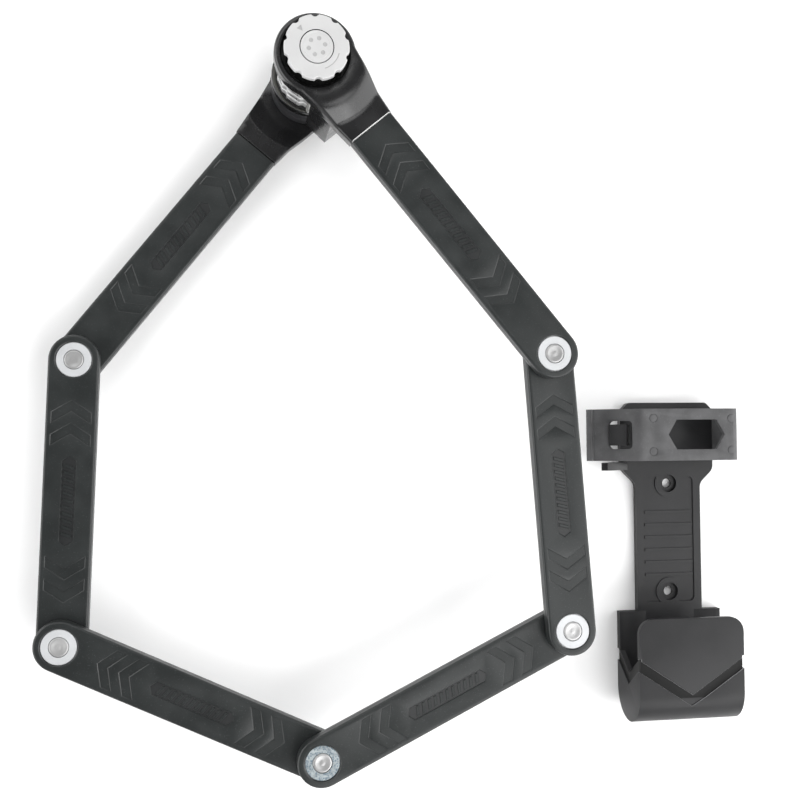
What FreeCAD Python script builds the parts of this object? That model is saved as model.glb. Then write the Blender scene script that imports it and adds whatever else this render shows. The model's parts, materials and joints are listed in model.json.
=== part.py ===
"""Folding bike lock with a four-dial combination head, six links and a frame carrier.

All sizes are millimetres. The lock lies flat with its six links opened into a closed loop: +Z runs
along the rivet axes towards the knob, and the origin is on the head's axis at its rear flange face.
Link 1 is at the top of the stack of levels and link 6 at the bottom. The carrier lies on its back
beside the loop. Each sub-part is drawn in its own frame and put in place by its Placement.
"""
import FreeCAD, Part
import math
import os

import Sketcher
from FreeCAD import Placement, Rotation, Vector

doc = FreeCAD.newDocument("FoldingLock")

# --------------------------------------------------------------------------- driving dimensions
SIZES = {
    # links and rivets
    "inner_pitch": 150.0,        # rivet to rivet, links 2 to 5
    "outer_pitch": 200.0,        # rivet to head axis, links 1 and 6
    "link_width": 26.5,
    "link_thick": 8.6,
    "link_gap": 0.8,
    "cover_round": 1.3,
    "bar_width": 22.0,
    "bar_thick": 5.0,
    "bar_lift": 1.8,             # from a link's face to its bar
    "cover_bore": 9.6,
    "chevron_deep": 0.5,
    "chevron_first": 21.3,
    "chevron_step": 12.0,
    "chevron_band": 6.2,
    "chevron_drop": 6.7,
    "chevron_half": 10.5,
    "outer_pattern_middle": 111.6,
    "panel_half_long": 24.0,
    "panel_half_wide": 3.8,
    "panel_tip": 2.5,
    "shaft_radius": 4.5,
    "running_gap": 0.05,
    "stud_radius": 5.2,
    "washer_radius": 9.2,
    "washer_thick": 1.6,
    "spacer_radius": 8.8,
    # head, measured along its axis from the rear flange face
    "head_long": 67.6,
    "flange_thick": 8.6,
    "flange_radius": 21.3,
    "neck_start": 27.0,
    "neck_end": 37.5,
    "housing_end": 46.5,
    "tongue_half": 13.7,
    "neck_half": 18.7,
    "neck_step": 6.0,
    "bar_start": 38.0,
    "barrel_radius": 20.5,
    "barrel_low": 8.9,
    "barrel_core": 18.6,
    "bezel_low": 25.6,
    "bezel_high": 30.6,
    "bezel_radius": 21.0,
    "dial_low": 31.4,
    "dial_pitch": 6.7,
    "dial_thick": 6.3,
    "dial_radius": 18.6,
    "dial_room": 18.95,
    "dial_bore": 9.6,
    "sleeve_relief": 8.2,
    "sleeve_bore": 4.3,
    "sleeve_web": 3.2,
    "gate_width": 3.4,
    "block_half": 14.0,
    "block_far": 31.0,
    "block_near": 8.0,
    "bolt_radius": 5.0,
    "rod_radius": 4.0,
    "bolt_tip": 10.4,
    "fin_reach": 7.8,
    # knob
    "knob_radius": 16.7,
    "knob_thick": 4.0,
    "knob_low": 72.6,
    "knob_cap_radius": 8.4,
    "collar_radius": 14.2,
    "recess_radius": 17.6,
    "recess_deep": 3.0,
    "spindle_radius": 6.95,
    # carrier, in its own frame: x across, y up the links, z out from the mounting face
    "carrier_wall": 3.0,
    "carrier_room_half": 28.3,
    "carrier_back": 4.5,
    "carrier_depth": 27.5,
    "boot_top": 43.0,
    "spine_half": 20.0,
    "spine_top": 166.0,
    "strap_low": 132.0,
    "strap_high": 162.0,
    "strap_thick": 3.0,
    "mount_spacing": 64.0,
    "mount_low": 54.0,
    "mount_hole": 2.75,
}

# link directions seen from the knob side, in degrees, each from its head or rivet end
LINK_1_ANGLE = -50.4
LINK_2_ANGLE = -85.8
LINK_3_ANGLE = -154.0
LINK_4_ANGLE = -205.3

sheet = doc.addObject("Spreadsheet::Sheet", "Sizes")
for row, (alias, value) in enumerate(SIZES.items(), start=1):
    sheet.set(f"A{row}", alias)
    sheet.set(f"B{row}", str(value))
    sheet.setAlias(f"B{row}", alias)
doc.recompute()


def size(alias):
    """The sheet's value of one driving dimension."""
    return float(sheet.get(alias))


def ref(expression):
    """An expression in which each word is a cell of the sheet."""
    words = []
    for word in expression.split():
        words.append(f"Sizes.{word}" if word in SIZES else word)
    return " ".join(words)


# --------------------------------------------------------------------------- placing
LINK_RISE = size("link_thick") + size("link_gap")
BAR_LIFT = size("bar_lift")


def level(link):
    """Height of a link's lower face: link 6 is the lowest, link 1 the highest."""
    return size("neck_step") + (6 - link) * LINK_RISE


def step(point, length, angle):
    return point + Vector(length * math.cos(math.radians(angle)), length * math.sin(math.radians(angle)), 0)


def circles_meet(a, radius_a, b, radius_b):
    """The point at both distances from a and b, on the left of the way from a to b."""
    gap = (b - a).Length
    along = (gap**2 + radius_a**2 - radius_b**2) / (2 * gap)
    side = math.sqrt(radius_a**2 - along**2)
    way = (b - a).normalize()
    return a + way * along + Vector(-way.y, way.x, 0) * side


HEAD = Vector(0, 0, 0)
RIVET_1 = step(HEAD, size("outer_pitch"), LINK_1_ANGLE)
RIVET_2 = step(RIVET_1, size("inner_pitch"), LINK_2_ANGLE)
RIVET_3 = step(RIVET_2, size("inner_pitch"), LINK_3_ANGLE)
RIVET_4 = step(RIVET_3, size("inner_pitch"), LINK_4_ANGLE)
RIVET_5 = circles_meet(RIVET_4, size("inner_pitch"), HEAD, size("outer_pitch"))
RIVETS = [RIVET_1, RIVET_2, RIVET_3, RIVET_4, RIVET_5]


def heading(start, end):
    return math.degrees(math.atan2(end.y - start.y, end.x - start.x))


def lying(point, angle, height):
    """A piece drawn along +X from its own origin, turned about Z and set at a point and height."""
    return Placement(Vector(point.x, point.y, height), Rotation(Vector(0, 0, 1), angle))


LINK_6_ANGLE = heading(HEAD, RIVET_5)
HEAD_FRAME = lying(HEAD, LINK_1_ANGLE, 0)
REAR_FRAME = lying(HEAD, LINK_6_ANGLE, 0)
# the front housing is the rear one's shape turned over about the link's own direction
FRONT_FRAME = lying(HEAD, LINK_1_ANGLE, size("head_long")).multiply(
    Placement(Vector(0, 0, 0), Rotation(Vector(1, 0, 0), 180))
)
CARRIER_FRAME = lying(Vector(214, -345, 0), 0, 0)

# --------------------------------------------------------------------------- building blocks
nodes = []


def keep(obj, label, placement):
    """Name a finished sub-part and put it in its place."""
    obj.Label = label
    obj.Placement = placement
    nodes.append(obj)
    return obj


def new_body(label):
    return doc.addObject("PartDesign::Body", "body_" + label)


def new_sketch(body, name, plane="XY_Plane", lift=None):
    """A sketch on one of the body's own planes, lifted along the plane's normal."""
    sketch = body.newObject("Sketcher::SketchObject", name)
    origin_plane = next(f for f in body.Origin.OriginFeatures if f.Role == plane)
    sketch.AttachmentSupport = [(origin_plane, "")]
    sketch.MapMode = "FlatFace"
    if lift is not None:
        sketch.setExpression("AttachmentOffset.Base.z", ref(lift))
    return sketch


def add_circle(sketch, radius, centre=(0.0, 0.0)):
    """A circle whose radius is bound to the sheet; an off-axis centre is held by its distances."""
    value = sheet_value(radius)
    edge = sketch.addGeometry(Part.Circle(Vector(*centre, 0), Vector(0, 0, 1), value))
    if centre == (0.0, 0.0):
        sketch.addConstraint(Sketcher.Constraint("Coincident", edge, 3, -1, 1))
    bound = sketch.addConstraint(Sketcher.Constraint("Radius", edge, value))
    sketch.setExpression(f"Constraints[{bound}]", ref(radius))
    return edge


def sheet_value(expression):
    """The number that a short expression gives; its steps are taken from left to right."""
    steps = {"+": float.__add__, "-": float.__sub__, "*": float.__mul__, "/": float.__truediv__}
    total, step_name = 0.0, "+"
    for word in expression.split():
        if word in steps:
            step_name = word
        else:
            total = steps[step_name](total, size(word) if word in SIZES else float(word))
    return total


def add_outline(sketch, points):
    """A closed outline of straight edges through the points."""
    corners = [Vector(x, y, 0) for x, y in points]
    first = sketch.GeometryCount
    for start, end in zip(corners, corners[1:] + corners[:1]):
        sketch.addGeometry(Part.LineSegment(start, end))
    count = len(corners)
    for i in range(count):
        sketch.addConstraint(Sketcher.Constraint("Coincident", first + i, 2, first + (i + 1) % count, 1))


def add_stadium(sketch, length, radius):
    """A round-ended outline: one end about the origin, the other at the length along X."""
    span, round_r = sheet_value(length), sheet_value(radius)
    up = Vector(0, 0, 1)
    quarter = math.pi / 2
    near_circle = Part.Circle(Vector(0, 0, 0), up, round_r)
    far_circle = Part.Circle(Vector(span, 0, 0), up, round_r)
    near = sketch.addGeometry(Part.ArcOfCircle(near_circle, quarter, 3 * quarter))
    far = sketch.addGeometry(Part.ArcOfCircle(far_circle, -quarter, quarter))
    top = sketch.addGeometry(Part.LineSegment(Vector(span, round_r, 0), Vector(0, round_r, 0)))
    low = sketch.addGeometry(Part.LineSegment(Vector(0, -round_r, 0), Vector(span, -round_r, 0)))
    join = Sketcher.Constraint
    sketch.addConstraint(join("Tangent", far, 2, top, 1))
    sketch.addConstraint(join("Tangent", top, 2, near, 1))
    sketch.addConstraint(join("Tangent", near, 2, low, 1))
    sketch.addConstraint(join("Tangent", low, 2, far, 1))
    sketch.addConstraint(join("Coincident", near, 3, -1, 1))
    sketch.addConstraint(join("PointOnObject", far, 3, -1))
    bound = sketch.addConstraint(join("Radius", far, round_r))
    sketch.setExpression(f"Constraints[{bound}]", ref(radius))
    bound = sketch.addConstraint(join("DistanceX", -1, 1, far, 3, span))
    sketch.setExpression(f"Constraints[{bound}]", ref(length))


def add_round_end(sketch, start, length, radius):
    """An outline with a square end at start and a round end about the length along X."""
    begin, span, round_r = sheet_value(start), sheet_value(length), sheet_value(radius)
    quarter = math.pi / 2
    circle = Part.Circle(Vector(span, 0, 0), Vector(0, 0, 1), round_r)
    far = sketch.addGeometry(Part.ArcOfCircle(circle, -quarter, quarter))
    top = sketch.addGeometry(Part.LineSegment(Vector(span, round_r, 0), Vector(begin, round_r, 0)))
    end = sketch.addGeometry(Part.LineSegment(Vector(begin, round_r, 0), Vector(begin, -round_r, 0)))
    low = sketch.addGeometry(Part.LineSegment(Vector(begin, -round_r, 0), Vector(span, -round_r, 0)))
    join = Sketcher.Constraint
    sketch.addConstraint(join("Tangent", far, 2, top, 1))
    sketch.addConstraint(join("Coincident", top, 2, end, 1))
    sketch.addConstraint(join("Coincident", end, 2, low, 1))
    sketch.addConstraint(join("Tangent", low, 2, far, 1))
    sketch.addConstraint(join("Vertical", end))
    sketch.addConstraint(join("PointOnObject", far, 3, -1))
    bound = sketch.addConstraint(join("Radius", far, round_r))
    sketch.setExpression(f"Constraints[{bound}]", ref(radius))
    bound = sketch.addConstraint(join("DistanceX", -1, 1, far, 3, span))
    sketch.setExpression(f"Constraints[{bound}]", ref(length))
    bound = sketch.addConstraint(join("DistanceX", -1, 1, end, 1, begin))
    sketch.setExpression(f"Constraints[{bound}]", ref(start))


def pad(body, sketch, length, name, midplane=False):
    feature = body.newObject("PartDesign::Pad", name)
    feature.Profile = sketch
    feature.Length = sheet_value(length)
    feature.setExpression("Length", ref(length))
    feature.Midplane = midplane
    doc.recompute()
    return feature


def cut(body, sketch, length, name, reverse=True, midplane=False):
    """A pocket; reversed, it removes material on the side the sketch plane's normal points to."""
    before = body.Shape.Volume
    feature = body.newObject("PartDesign::Pocket", name)
    feature.Profile = sketch
    feature.Length = sheet_value(length)
    feature.setExpression("Length", ref(length))
    feature.Reversed = reverse
    feature.Midplane = midplane
    doc.recompute()
    if body.Shape.Volume > before - 1e-6:
        raise RuntimeError(f"{body.Label}: {name} removes nothing")
    return feature


def revolve(body, sketch, name, groove=False):
    """A full turn about Z of a profile drawn on the XZ plane."""
    before = body.Shape.Volume if groove else 0.0
    kind = "PartDesign::Groove" if groove else "PartDesign::Revolution"
    feature = body.newObject(kind, name)
    feature.Profile = sketch
    feature.ReferenceAxis = (sketch, ["V_Axis"])
    feature.Angle = 360.0
    doc.recompute()
    if groove and body.Shape.Volume > before - 1e-6:
        raise RuntimeError(f"{body.Label}: {name} removes nothing")
    return feature


def turned(label, placement, profile):
    """A solid of revolution about Z from a closed profile of (radius, height) points."""
    body = new_body(label)
    sketch = new_sketch(body, label + "_profile", "XZ_Plane")
    add_outline(sketch, profile)
    revolve(body, sketch, label + "_turn")
    return keep(body, label, placement)


def around(body, feature, count, name):
    """Repeat a feature evenly about the body's Z axis."""
    pattern = body.newObject("PartDesign::PolarPattern", name)
    pattern.Originals = [feature]
    z_axis = next(f for f in body.Origin.OriginFeatures if f.Role == "Z_Axis")
    pattern.Axis = (z_axis, [""])
    pattern.Angle = 360.0
    pattern.Occurrences = count
    body.Tip = pattern
    doc.recompute()
    return pattern


def cylinder(name, radius, height, base, centre=(0.0, 0.0)):
    """A primitive cylinder along Z; its radius and height are bound to the sheet."""
    obj = doc.addObject("Part::Cylinder", name)
    obj.setExpression("Radius", ref(radius))
    obj.setExpression("Height", ref(height))
    obj.Placement.Base = Vector(centre[0], centre[1], base)
    return obj


def box(name, low, high):
    obj = doc.addObject("Part::Box", name)
    obj.Length, obj.Width, obj.Height = (b - a for a, b in zip(low, high))
    obj.Placement.Base = Vector(*low)
    return obj


def fuse(name, parts):
    obj = doc.addObject("Part::MultiFuse", name)
    obj.Shapes = parts
    return obj


def subtract(name, base, tool):
    obj = doc.addObject("Part::Cut", name)
    obj.Base = base
    obj.Tool = tool
    return obj


def group(label, placement, parts):
    """Separate solids that share one node."""
    obj = doc.addObject("Part::Compound", "group_" + label)
    obj.Links = parts
    return keep(obj, label, placement)


# --------------------------------------------------------------------------- links
def chevron(tip, way):
    """A bent band whose apex is at tip and whose arms trail along way, +1 or -1, in X."""
    band, drop = size("chevron_band") * way, size("chevron_drop") * way
    half = size("chevron_half")
    return [
        (tip, 0), (tip + drop, half), (tip + drop + band, half),
        (tip + band, 0), (tip + drop + band, -half), (tip + drop, -half),
    ]


def relief_sketch(body, name, lift, low_x, high_x):
    """The shallow face pattern: two chevrons by each end and a pointed panel in the middle."""
    sketch = new_sketch(body, name, lift=lift)
    for i in range(2):
        shift = size("chevron_first") + i * size("chevron_step")
        add_outline(sketch, chevron(low_x + shift, 1))
        add_outline(sketch, chevron(high_x - shift, -1))
    middle = (low_x + high_x) / 2
    half, wide, tip = size("panel_half_long"), size("panel_half_wide"), size("panel_tip")
    add_outline(sketch, [
        (middle - half, 0), (middle - half + tip, wide), (middle + half - tip, wide),
        (middle + half, 0), (middle + half - tip, -wide), (middle - half + tip, -wide),
    ])
    return sketch


def link_cover(label, placement, outer):
    """The moulded cover round a link's steel bar, with a bore at each rivet."""
    body = new_body(label)
    shape = new_sketch(body, label + "_outline")
    room = new_sketch(body, label + "_room_outline", lift="bar_lift")
    if outer:
        add_round_end(shape, "housing_end", "outer_pitch", "link_width / 2")
        add_round_end(room, "housing_end", "outer_pitch", "bar_width / 2")
        bores = [size("outer_pitch")]
        middle, half = size("outer_pattern_middle"), size("inner_pitch") / 2
        span = (middle - half, middle + half)
    else:
        add_stadium(shape, "inner_pitch", "link_width / 2")
        add_stadium(room, "inner_pitch", "bar_width / 2")
        bores = [0.0, size("inner_pitch")]
        span = (0.0, size("inner_pitch"))
    solid = pad(body, shape, "link_thick", label + "_solid")
    rims = [
        f"Edge{i}" for i, edge in enumerate(solid.Shape.Edges, start=1)
        if edge.BoundBox.ZLength < 1e-6 and not (outer and edge.BoundBox.XLength < 1e-6)
    ]
    rounding = body.newObject("PartDesign::Fillet", label + "_rounding")
    rounding.Base = (solid, rims)
    rounding.Radius = size("cover_round")
    rounding.setExpression("Radius", ref("cover_round"))
    doc.recompute()
    cut(body, room, "bar_thick", label + "_room")
    holes = new_sketch(body, label + "_bore_outline")
    for x in bores:
        add_circle(holes, "cover_bore", (x, 0.0))
    cut(body, holes, "link_thick", label + "_bores")
    upper = relief_sketch(body, label + "_upper_pattern", "link_thick - chevron_deep", *span)
    cut(body, upper, "chevron_deep", label + "_upper_relief")
    lower = relief_sketch(body, label + "_lower_pattern", None, *span)
    cut(body, lower, "chevron_deep", label + "_lower_relief")
    return keep(body, label, placement)


def link_bar(label, placement, outer):
    """The hardened steel bar inside a link, bored for its rivets."""
    body = new_body(label)
    outline = new_sketch(body, label + "_outline")
    holes = new_sketch(body, label + "_holes_outline")
    if outer:
        add_round_end(outline, "bar_start", "outer_pitch", "bar_width / 2")
        centres = [size("outer_pitch")]
    else:
        add_stadium(outline, "inner_pitch", "bar_width / 2")
        centres = [0.0, size("inner_pitch")]
    pad(body, outline, "bar_thick", label + "_solid")
    for x in centres:
        add_circle(holes, "shaft_radius + running_gap", (x, 0.0))
    cut(body, holes, "bar_thick", label + "_holes")
    if outer:
        pins = new_sketch(body, label + "_pins_outline")
        for y in PIN_SIDES:
            add_circle(pins, "1.5", (PIN_X, y))
        cut(body, pins, "bar_thick", label + "_pin_holes")
    return keep(body, label, placement)


PIN_X = 42.3
PIN_SIDES = (-6.0, 6.0)


def rivet(number, placement):
    """Rivet, its two washers and the spacer between the bars; z = 0 is the lower link's face."""
    run = size("running_gap")
    shaft, stud = size("shaft_radius"), size("stud_radius")
    top = LINK_RISE + size("link_thick")
    under = BAR_LIFT - run
    over = LINK_RISE + BAR_LIFT + size("bar_thick")
    crown = 0.35
    turned(f"rivet_{number}", placement, [
        (0, 0), (stud - 1, 0), (stud, crown), (stud, under), (shaft, under), (shaft, over),
        (stud, over), (stud, top - crown), (stud - 1, top), (0, top),
    ])
    washers = []
    for place, low in (("low", under - size("washer_thick")), ("high", over)):
        rim = cylinder(f"washer_{place}_{number}_rim", "washer_radius", "washer_thick", low)
        eye = cylinder(f"washer_{place}_{number}_eye", "stud_radius", "washer_thick", low)
        washers.append(subtract(f"washer_{place}_{number}", rim, eye))
    low = BAR_LIFT + size("bar_thick") + run
    tall = LINK_RISE + BAR_LIFT - low
    rim = cylinder(f"spacer_{number}_rim", "spacer_radius", str(round(tall, 3)), low)
    eye = cylinder(f"spacer_{number}_eye", "shaft_radius", str(round(tall, 3)), low)
    washers.append(subtract(f"spacer_{number}", rim, eye))
    group(f"rivet_washers_{number}", placement, washers)


INNER = [(RIVET_1, RIVET_2), (RIVET_2, RIVET_3), (RIVET_3, RIVET_4), (RIVET_4, RIVET_5)]
for link, angle in ((1, LINK_1_ANGLE), (6, LINK_6_ANGLE)):
    link_cover(f"link_{link}_cover", lying(HEAD, angle, level(link)), True)
    link_bar(f"link_{link}_bar", lying(HEAD, angle, level(link) + BAR_LIFT), True)
for link, (start, end) in enumerate(INNER, start=2):
    angle = heading(start, end)
    link_cover(f"link_{link}_cover", lying(start, angle, level(link)), False)
    link_bar(f"link_{link}_bar", lying(start, angle, level(link) + BAR_LIFT), False)
for number, point in enumerate(RIVETS, start=1):
    rivet(number, lying(point, 0, level(number + 1)))


# --------------------------------------------------------------------------- housings on links 1 and 6
SCREW_SPOTS = ((22.5, -8.0), (22.5, 8.0))
DETENT_SPOT = (-10.6, 0.0)


def end_housing(label, placement, front):
    """The cast end of an outer link: a round flange whose neck steps inward to the link's level."""
    body = new_body(label)
    outline = new_sketch(body, label + "_outline")
    radius, half = size("flange_radius"), size("neck_half")
    shoulder = math.sqrt(radius**2 - half**2)
    circle = Part.Circle(Vector(0, 0, 0), Vector(0, 0, 1), radius)
    turn = math.atan2(half, shoulder)
    outline.addGeometry(Part.ArcOfCircle(circle, turn, 2 * math.pi - turn))
    end, tongue = size("housing_end"), size("tongue_half")
    corners = [
        (shoulder, -half), (34.0, -14.9), (end, -tongue), (end, tongue), (34.0, 14.9), (shoulder, half),
    ]
    for start, stop in zip(corners, corners[1:]):
        outline.addGeometry(Part.LineSegment(Vector(*start, 0), Vector(*stop, 0)))
    join = Sketcher.Constraint
    for i in range(6):
        outline.addConstraint(join("Coincident", i, 2, (i + 1) % 6, 1))
    bound = outline.addConstraint(join("Radius", 0, radius))
    outline.setExpression(f"Constraints[{bound}]", ref("flange_radius"))
    pad(body, outline, "neck_step + link_thick", label + "_block")

    start_r, end_r, stepped = size("neck_start"), size("neck_end"), size("neck_step")
    thick, beyond = size("flange_thick"), 60.0
    outer = new_sketch(body, label + "_outer_slope", "XZ_Plane")
    add_outline(outer, [(start_r, -1), (start_r, 0), (end_r, stepped), (beyond, stepped), (beyond, -1)])
    revolve(body, outer, label + "_outer_cut", groove=True)
    inner = new_sketch(body, label + "_inner_slope", "XZ_Plane")
    top = stepped + size("link_thick")
    add_outline(inner, [(0, thick), (start_r, thick), (end_r, top), (end_r, top + 1), (0, top + 1)])
    revolve(body, inner, label + "_inner_cut", groove=True)

    seat = new_sketch(body, label + "_bar_seat", lift="neck_step + bar_lift")
    half_bar, far = size("bar_width") / 2, size("housing_end") + 1
    near = size("bar_start")
    add_outline(seat, [(near, -half_bar), (far, -half_bar), (far, half_bar), (near, half_bar)])
    cut(body, seat, "bar_thick", label + "_bar_room")
    pins = new_sketch(body, label + "_pin_seats", lift="neck_step + 1")
    for y in PIN_SIDES:
        add_circle(pins, "1.5", (PIN_X, y))
    cut(body, pins, "link_thick", label + "_pin_holes")
    if front:
        recess = new_sketch(body, label + "_recess_outline")
        add_circle(recess, "recess_radius")
        cut(body, recess, "recess_deep", label + "_recess")
        bore = new_sketch(body, label + "_bore_outline")
        add_circle(bore, "spindle_radius + running_gap")
        cut(body, bore, "flange_thick", label + "_bore")
        threads = new_sketch(body, label + "_thread_outline", lift="4")
        for x, y in SCREW_SPOTS:
            add_circle(threads, "1.95", (x, y))
        cut(body, threads, "flange_thick", label + "_threads")
        ball_seat = new_sketch(body, label + "_ball_outline")
        add_circle(ball_seat, "1.6", DETENT_SPOT)
        cut(body, ball_seat, "7.6", label + "_ball_seat")
    else:
        socket = new_sketch(body, label + "_socket_outline", lift="2")
        add_circle(socket, "8.5")
        cut(body, socket, "flange_thick", label + "_socket")
    return keep(body, label, placement)


end_housing("front_housing", FRONT_FRAME, True)
end_housing("rear_housing", REAR_FRAME, False)
for label, frame in (("front_bar_pins", FRONT_FRAME), ("rear_bar_pins", REAR_FRAME)):
    low = size("neck_step") + 1
    pins = [
        cylinder(f"{label}_{i}", "1.5", "link_thick - 1.2", low, (PIN_X, y)) for i, y in enumerate(PIN_SIDES)
    ]
    group(label, frame, pins)
turned("bolt_socket", REAR_FRAME, [
    (size("bolt_radius") + 0.2, 2.0), (8.5, 2.0), (8.5, size("flange_thick")),
    (size("bolt_radius") + 0.2, size("flange_thick")),
])

# --------------------------------------------------------------------------- lock body
GUIDE_THICK = 2.5
GUIDE_RADIUS = 17.0
BADGE_X, BADGE_HALF, BADGE_RADIUS, BADGE_DEEP = 24.3, 10.0, 3.7, 0.8
BADGE_MIDDLE = 34.5
STRIP_LOW, STRIP_HIGH, STRIP_X, STRIP_WIDE = 31.4, 58.6, 13.3, 1.7


def lock_body():
    """Barrel and label block in one casting, between the two housings and round the dials."""
    label = "lock_body"
    body = new_body(label)
    barrel = new_sketch(body, "barrel_outline", lift="barrel_low")
    add_circle(barrel, "barrel_radius")
    pad(body, barrel, "bezel_low - barrel_low", "barrel")
    core = new_sketch(body, "core_outline", lift="bezel_low - 1")
    add_circle(core, "barrel_core")
    pad(body, core, "bezel_high - bezel_low + 1", "core")
    block = new_sketch(body, "block_outline", "XZ_Plane")
    near, far, low = size("block_near"), size("block_far"), size("barrel_low") + 0.2
    top = size("head_long") - size("flange_thick")
    add_outline(block, [(near, low), (14.5, low), (far, 17.0), (far, top), (near, top)])
    pad(body, block, "block_half * 2", "block", midplane=True)
    slope = new_sketch(body, "front_slope", "XZ_Plane")
    start_r, end_r = size("neck_start"), size("neck_end")
    foot = top - size("neck_step")
    add_outline(slope, [(start_r, top), (end_r, foot), (end_r, top + 1), (start_r, top + 1)])
    revolve(body, slope, "front_slope_cut", groove=True)
    bezel_room = new_sketch(body, "bezel_room_outline", lift="bezel_low")
    add_circle(bezel_room, "bezel_radius")
    add_circle(bezel_room, "barrel_core")
    cut(body, bezel_room, "bezel_high - bezel_low", "bezel_room")
    room = new_sketch(body, "dial_room_outline", lift="bezel_high")
    add_circle(room, "dial_room")
    cut(body, room, "head_long - bezel_high", "dial_room_cut")
    bore = new_sketch(body, "bolt_bore_outline", lift="barrel_low")
    add_circle(bore, "bolt_radius + 0.2")
    cut(body, bore, "bezel_high - barrel_low", "bolt_bore")
    fin_room = new_sketch(body, "fin_room_outline", lift="bezel_low - 1.4")
    add_circle(fin_room, "8.4")
    cut(body, fin_room, "bezel_high - bezel_low + 1.4", "fin_room")
    guide = new_sketch(body, "guide_seat_outline", lift="barrel_low")
    add_circle(guide, str(GUIDE_RADIUS))
    cut(body, guide, str(GUIDE_THICK), "guide_seat")
    screws = new_sketch(body, "screw_hole_outline", lift="barrel_low")
    heads = new_sketch(body, "screw_head_outline", lift="barrel_low")
    for spot in SCREW_SPOTS:
        add_circle(screws, "2", spot)
        add_circle(heads, "3.4", spot)
    cut(body, screws, "head_long", "screw_holes")
    cut(body, heads, "10", "screw_head_seats")
    leaf = new_sketch(body, "leaf_room_outline", lift="bezel_high")
    add_outline(leaf, [(17, -5), (20.2, -5), (20.2, 5), (17, 5)])
    cut(body, leaf, "27.9", "leaf_room")
    badge = new_sketch(body, "badge_outline", "XZ_Plane")
    badge.AttachmentOffset.Base = Vector(0, 0, -size("block_half"))
    add_capsule(badge)
    cut(body, badge, str(BADGE_DEEP * 2), "badge_seat", midplane=True)
    strips = new_sketch(body, "strip_outline", lift=str(STRIP_LOW))
    for side in (-1, 1):
        inner, outer = side * (size("block_half") - 0.5), side * (size("block_half") + 1)
        far_x = STRIP_X + STRIP_WIDE
        add_outline(strips, [(STRIP_X, inner), (far_x, inner), (far_x, outer), (STRIP_X, outer)])
    cut(body, strips, str(round(STRIP_HIGH - STRIP_LOW, 3)), "strip_seats")
    return keep(body, label, HEAD_FRAME)


def add_capsule(sketch):
    """The badge's round-ended outline, its long side along the head's axis."""
    quarter = math.pi / 2
    up = Vector(0, 0, 1)
    low, high = BADGE_MIDDLE - BADGE_HALF, BADGE_MIDDLE + BADGE_HALF
    top = Part.Circle(Vector(BADGE_X, high, 0), up, BADGE_RADIUS)
    bottom = Part.Circle(Vector(BADGE_X, low, 0), up, BADGE_RADIUS)
    left, right = BADGE_X - BADGE_RADIUS, BADGE_X + BADGE_RADIUS
    sketch.addGeometry(Part.ArcOfCircle(top, 0, 2 * quarter))
    sketch.addGeometry(Part.LineSegment(Vector(left, high, 0), Vector(left, low, 0)))
    sketch.addGeometry(Part.ArcOfCircle(bottom, 2 * quarter, 4 * quarter))
    sketch.addGeometry(Part.LineSegment(Vector(right, low, 0), Vector(right, high, 0)))
    for i in range(4):
        sketch.addConstraint(Sketcher.Constraint("Coincident", i, 2, (i + 1) % 4, 1))


def label_plate():
    """A plain plate let into the block's front face."""
    body = new_body("label_plate")
    outline = new_sketch(body, "label_plate_outline", "XZ_Plane")
    outline.AttachmentOffset.Base = Vector(0, 0, -size("block_half") + BADGE_DEEP)
    add_capsule(outline)
    feature = pad(body, outline, "0.7", "label_plate_solid")
    feature.Reversed = True
    doc.recompute()
    return keep(body, "label_plate", HEAD_FRAME)


lock_body()
label_plate()
turned("dial_bezel", HEAD_FRAME, [
    (size("barrel_core"), size("bezel_low")), (size("bezel_radius"), size("bezel_low")),
    (size("bezel_radius"), size("bezel_high") - 1.2), (size("bezel_radius") - 1.2, size("bezel_high")),
    (size("barrel_core"), size("bezel_high")),
])
turned("bolt_guide_plate", HEAD_FRAME, [
    (size("bolt_radius") + size("running_gap"), size("barrel_low")), (GUIDE_RADIUS, size("barrel_low")),
    (GUIDE_RADIUS, size("barrel_low") + GUIDE_THICK),
    (size("bolt_radius") + size("running_gap"), size("barrel_low") + GUIDE_THICK),
])
strips = []
for side in (-1, 1):
    face = side * (size("block_half") - 0.5)
    low_y, high_y = min(face, face + side * 0.9), max(face, face + side * 0.9)
    strip_low, strip_high = (STRIP_X, low_y, STRIP_LOW), (STRIP_X + STRIP_WIDE, high_y, STRIP_HIGH)
    strips.append(box(f"strip_{len(strips)}", strip_low, strip_high))
group("index_strips", HEAD_FRAME, strips)

screws = []
for i, (x, y) in enumerate(SCREW_SPOTS):
    head = cylinder(f"screw_head_{i}", "3.1", "2.6", size("barrel_low") + 7.4, (x, y))
    shank = cylinder(f"screw_shank_{i}", "1.9", "44", size("barrel_low") + 10, (x, y))
    screws.append(fuse(f"screw_{i}", [head, shank]))
group("body_screws", HEAD_FRAME, screws)

leaf_low, leaf_high = size("dial_low") - 0.4, size("dial_low") + 4 * size("dial_pitch") - 0.2
leaf = box("leaf_plate", (19.5, -4.8, leaf_low), (20.0, 4.8, leaf_high))
slits = [
    box(f"leaf_slit_{i}", (19.0, -4.9, size("dial_low") + i * size("dial_pitch") - 0.4),
        (20.5, 3.0, size("dial_low") + i * size("dial_pitch")))
    for i in range(1, 4)
]
keep(subtract("leaf_spring", leaf, fuse("leaf_slits", slits)), "dial_detent_spring", HEAD_FRAME)

# --------------------------------------------------------------------------- dials and code sleeves
FACETS = 10
FIN_WIDE = 2.6
FIN_THICK = 2.2


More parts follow.
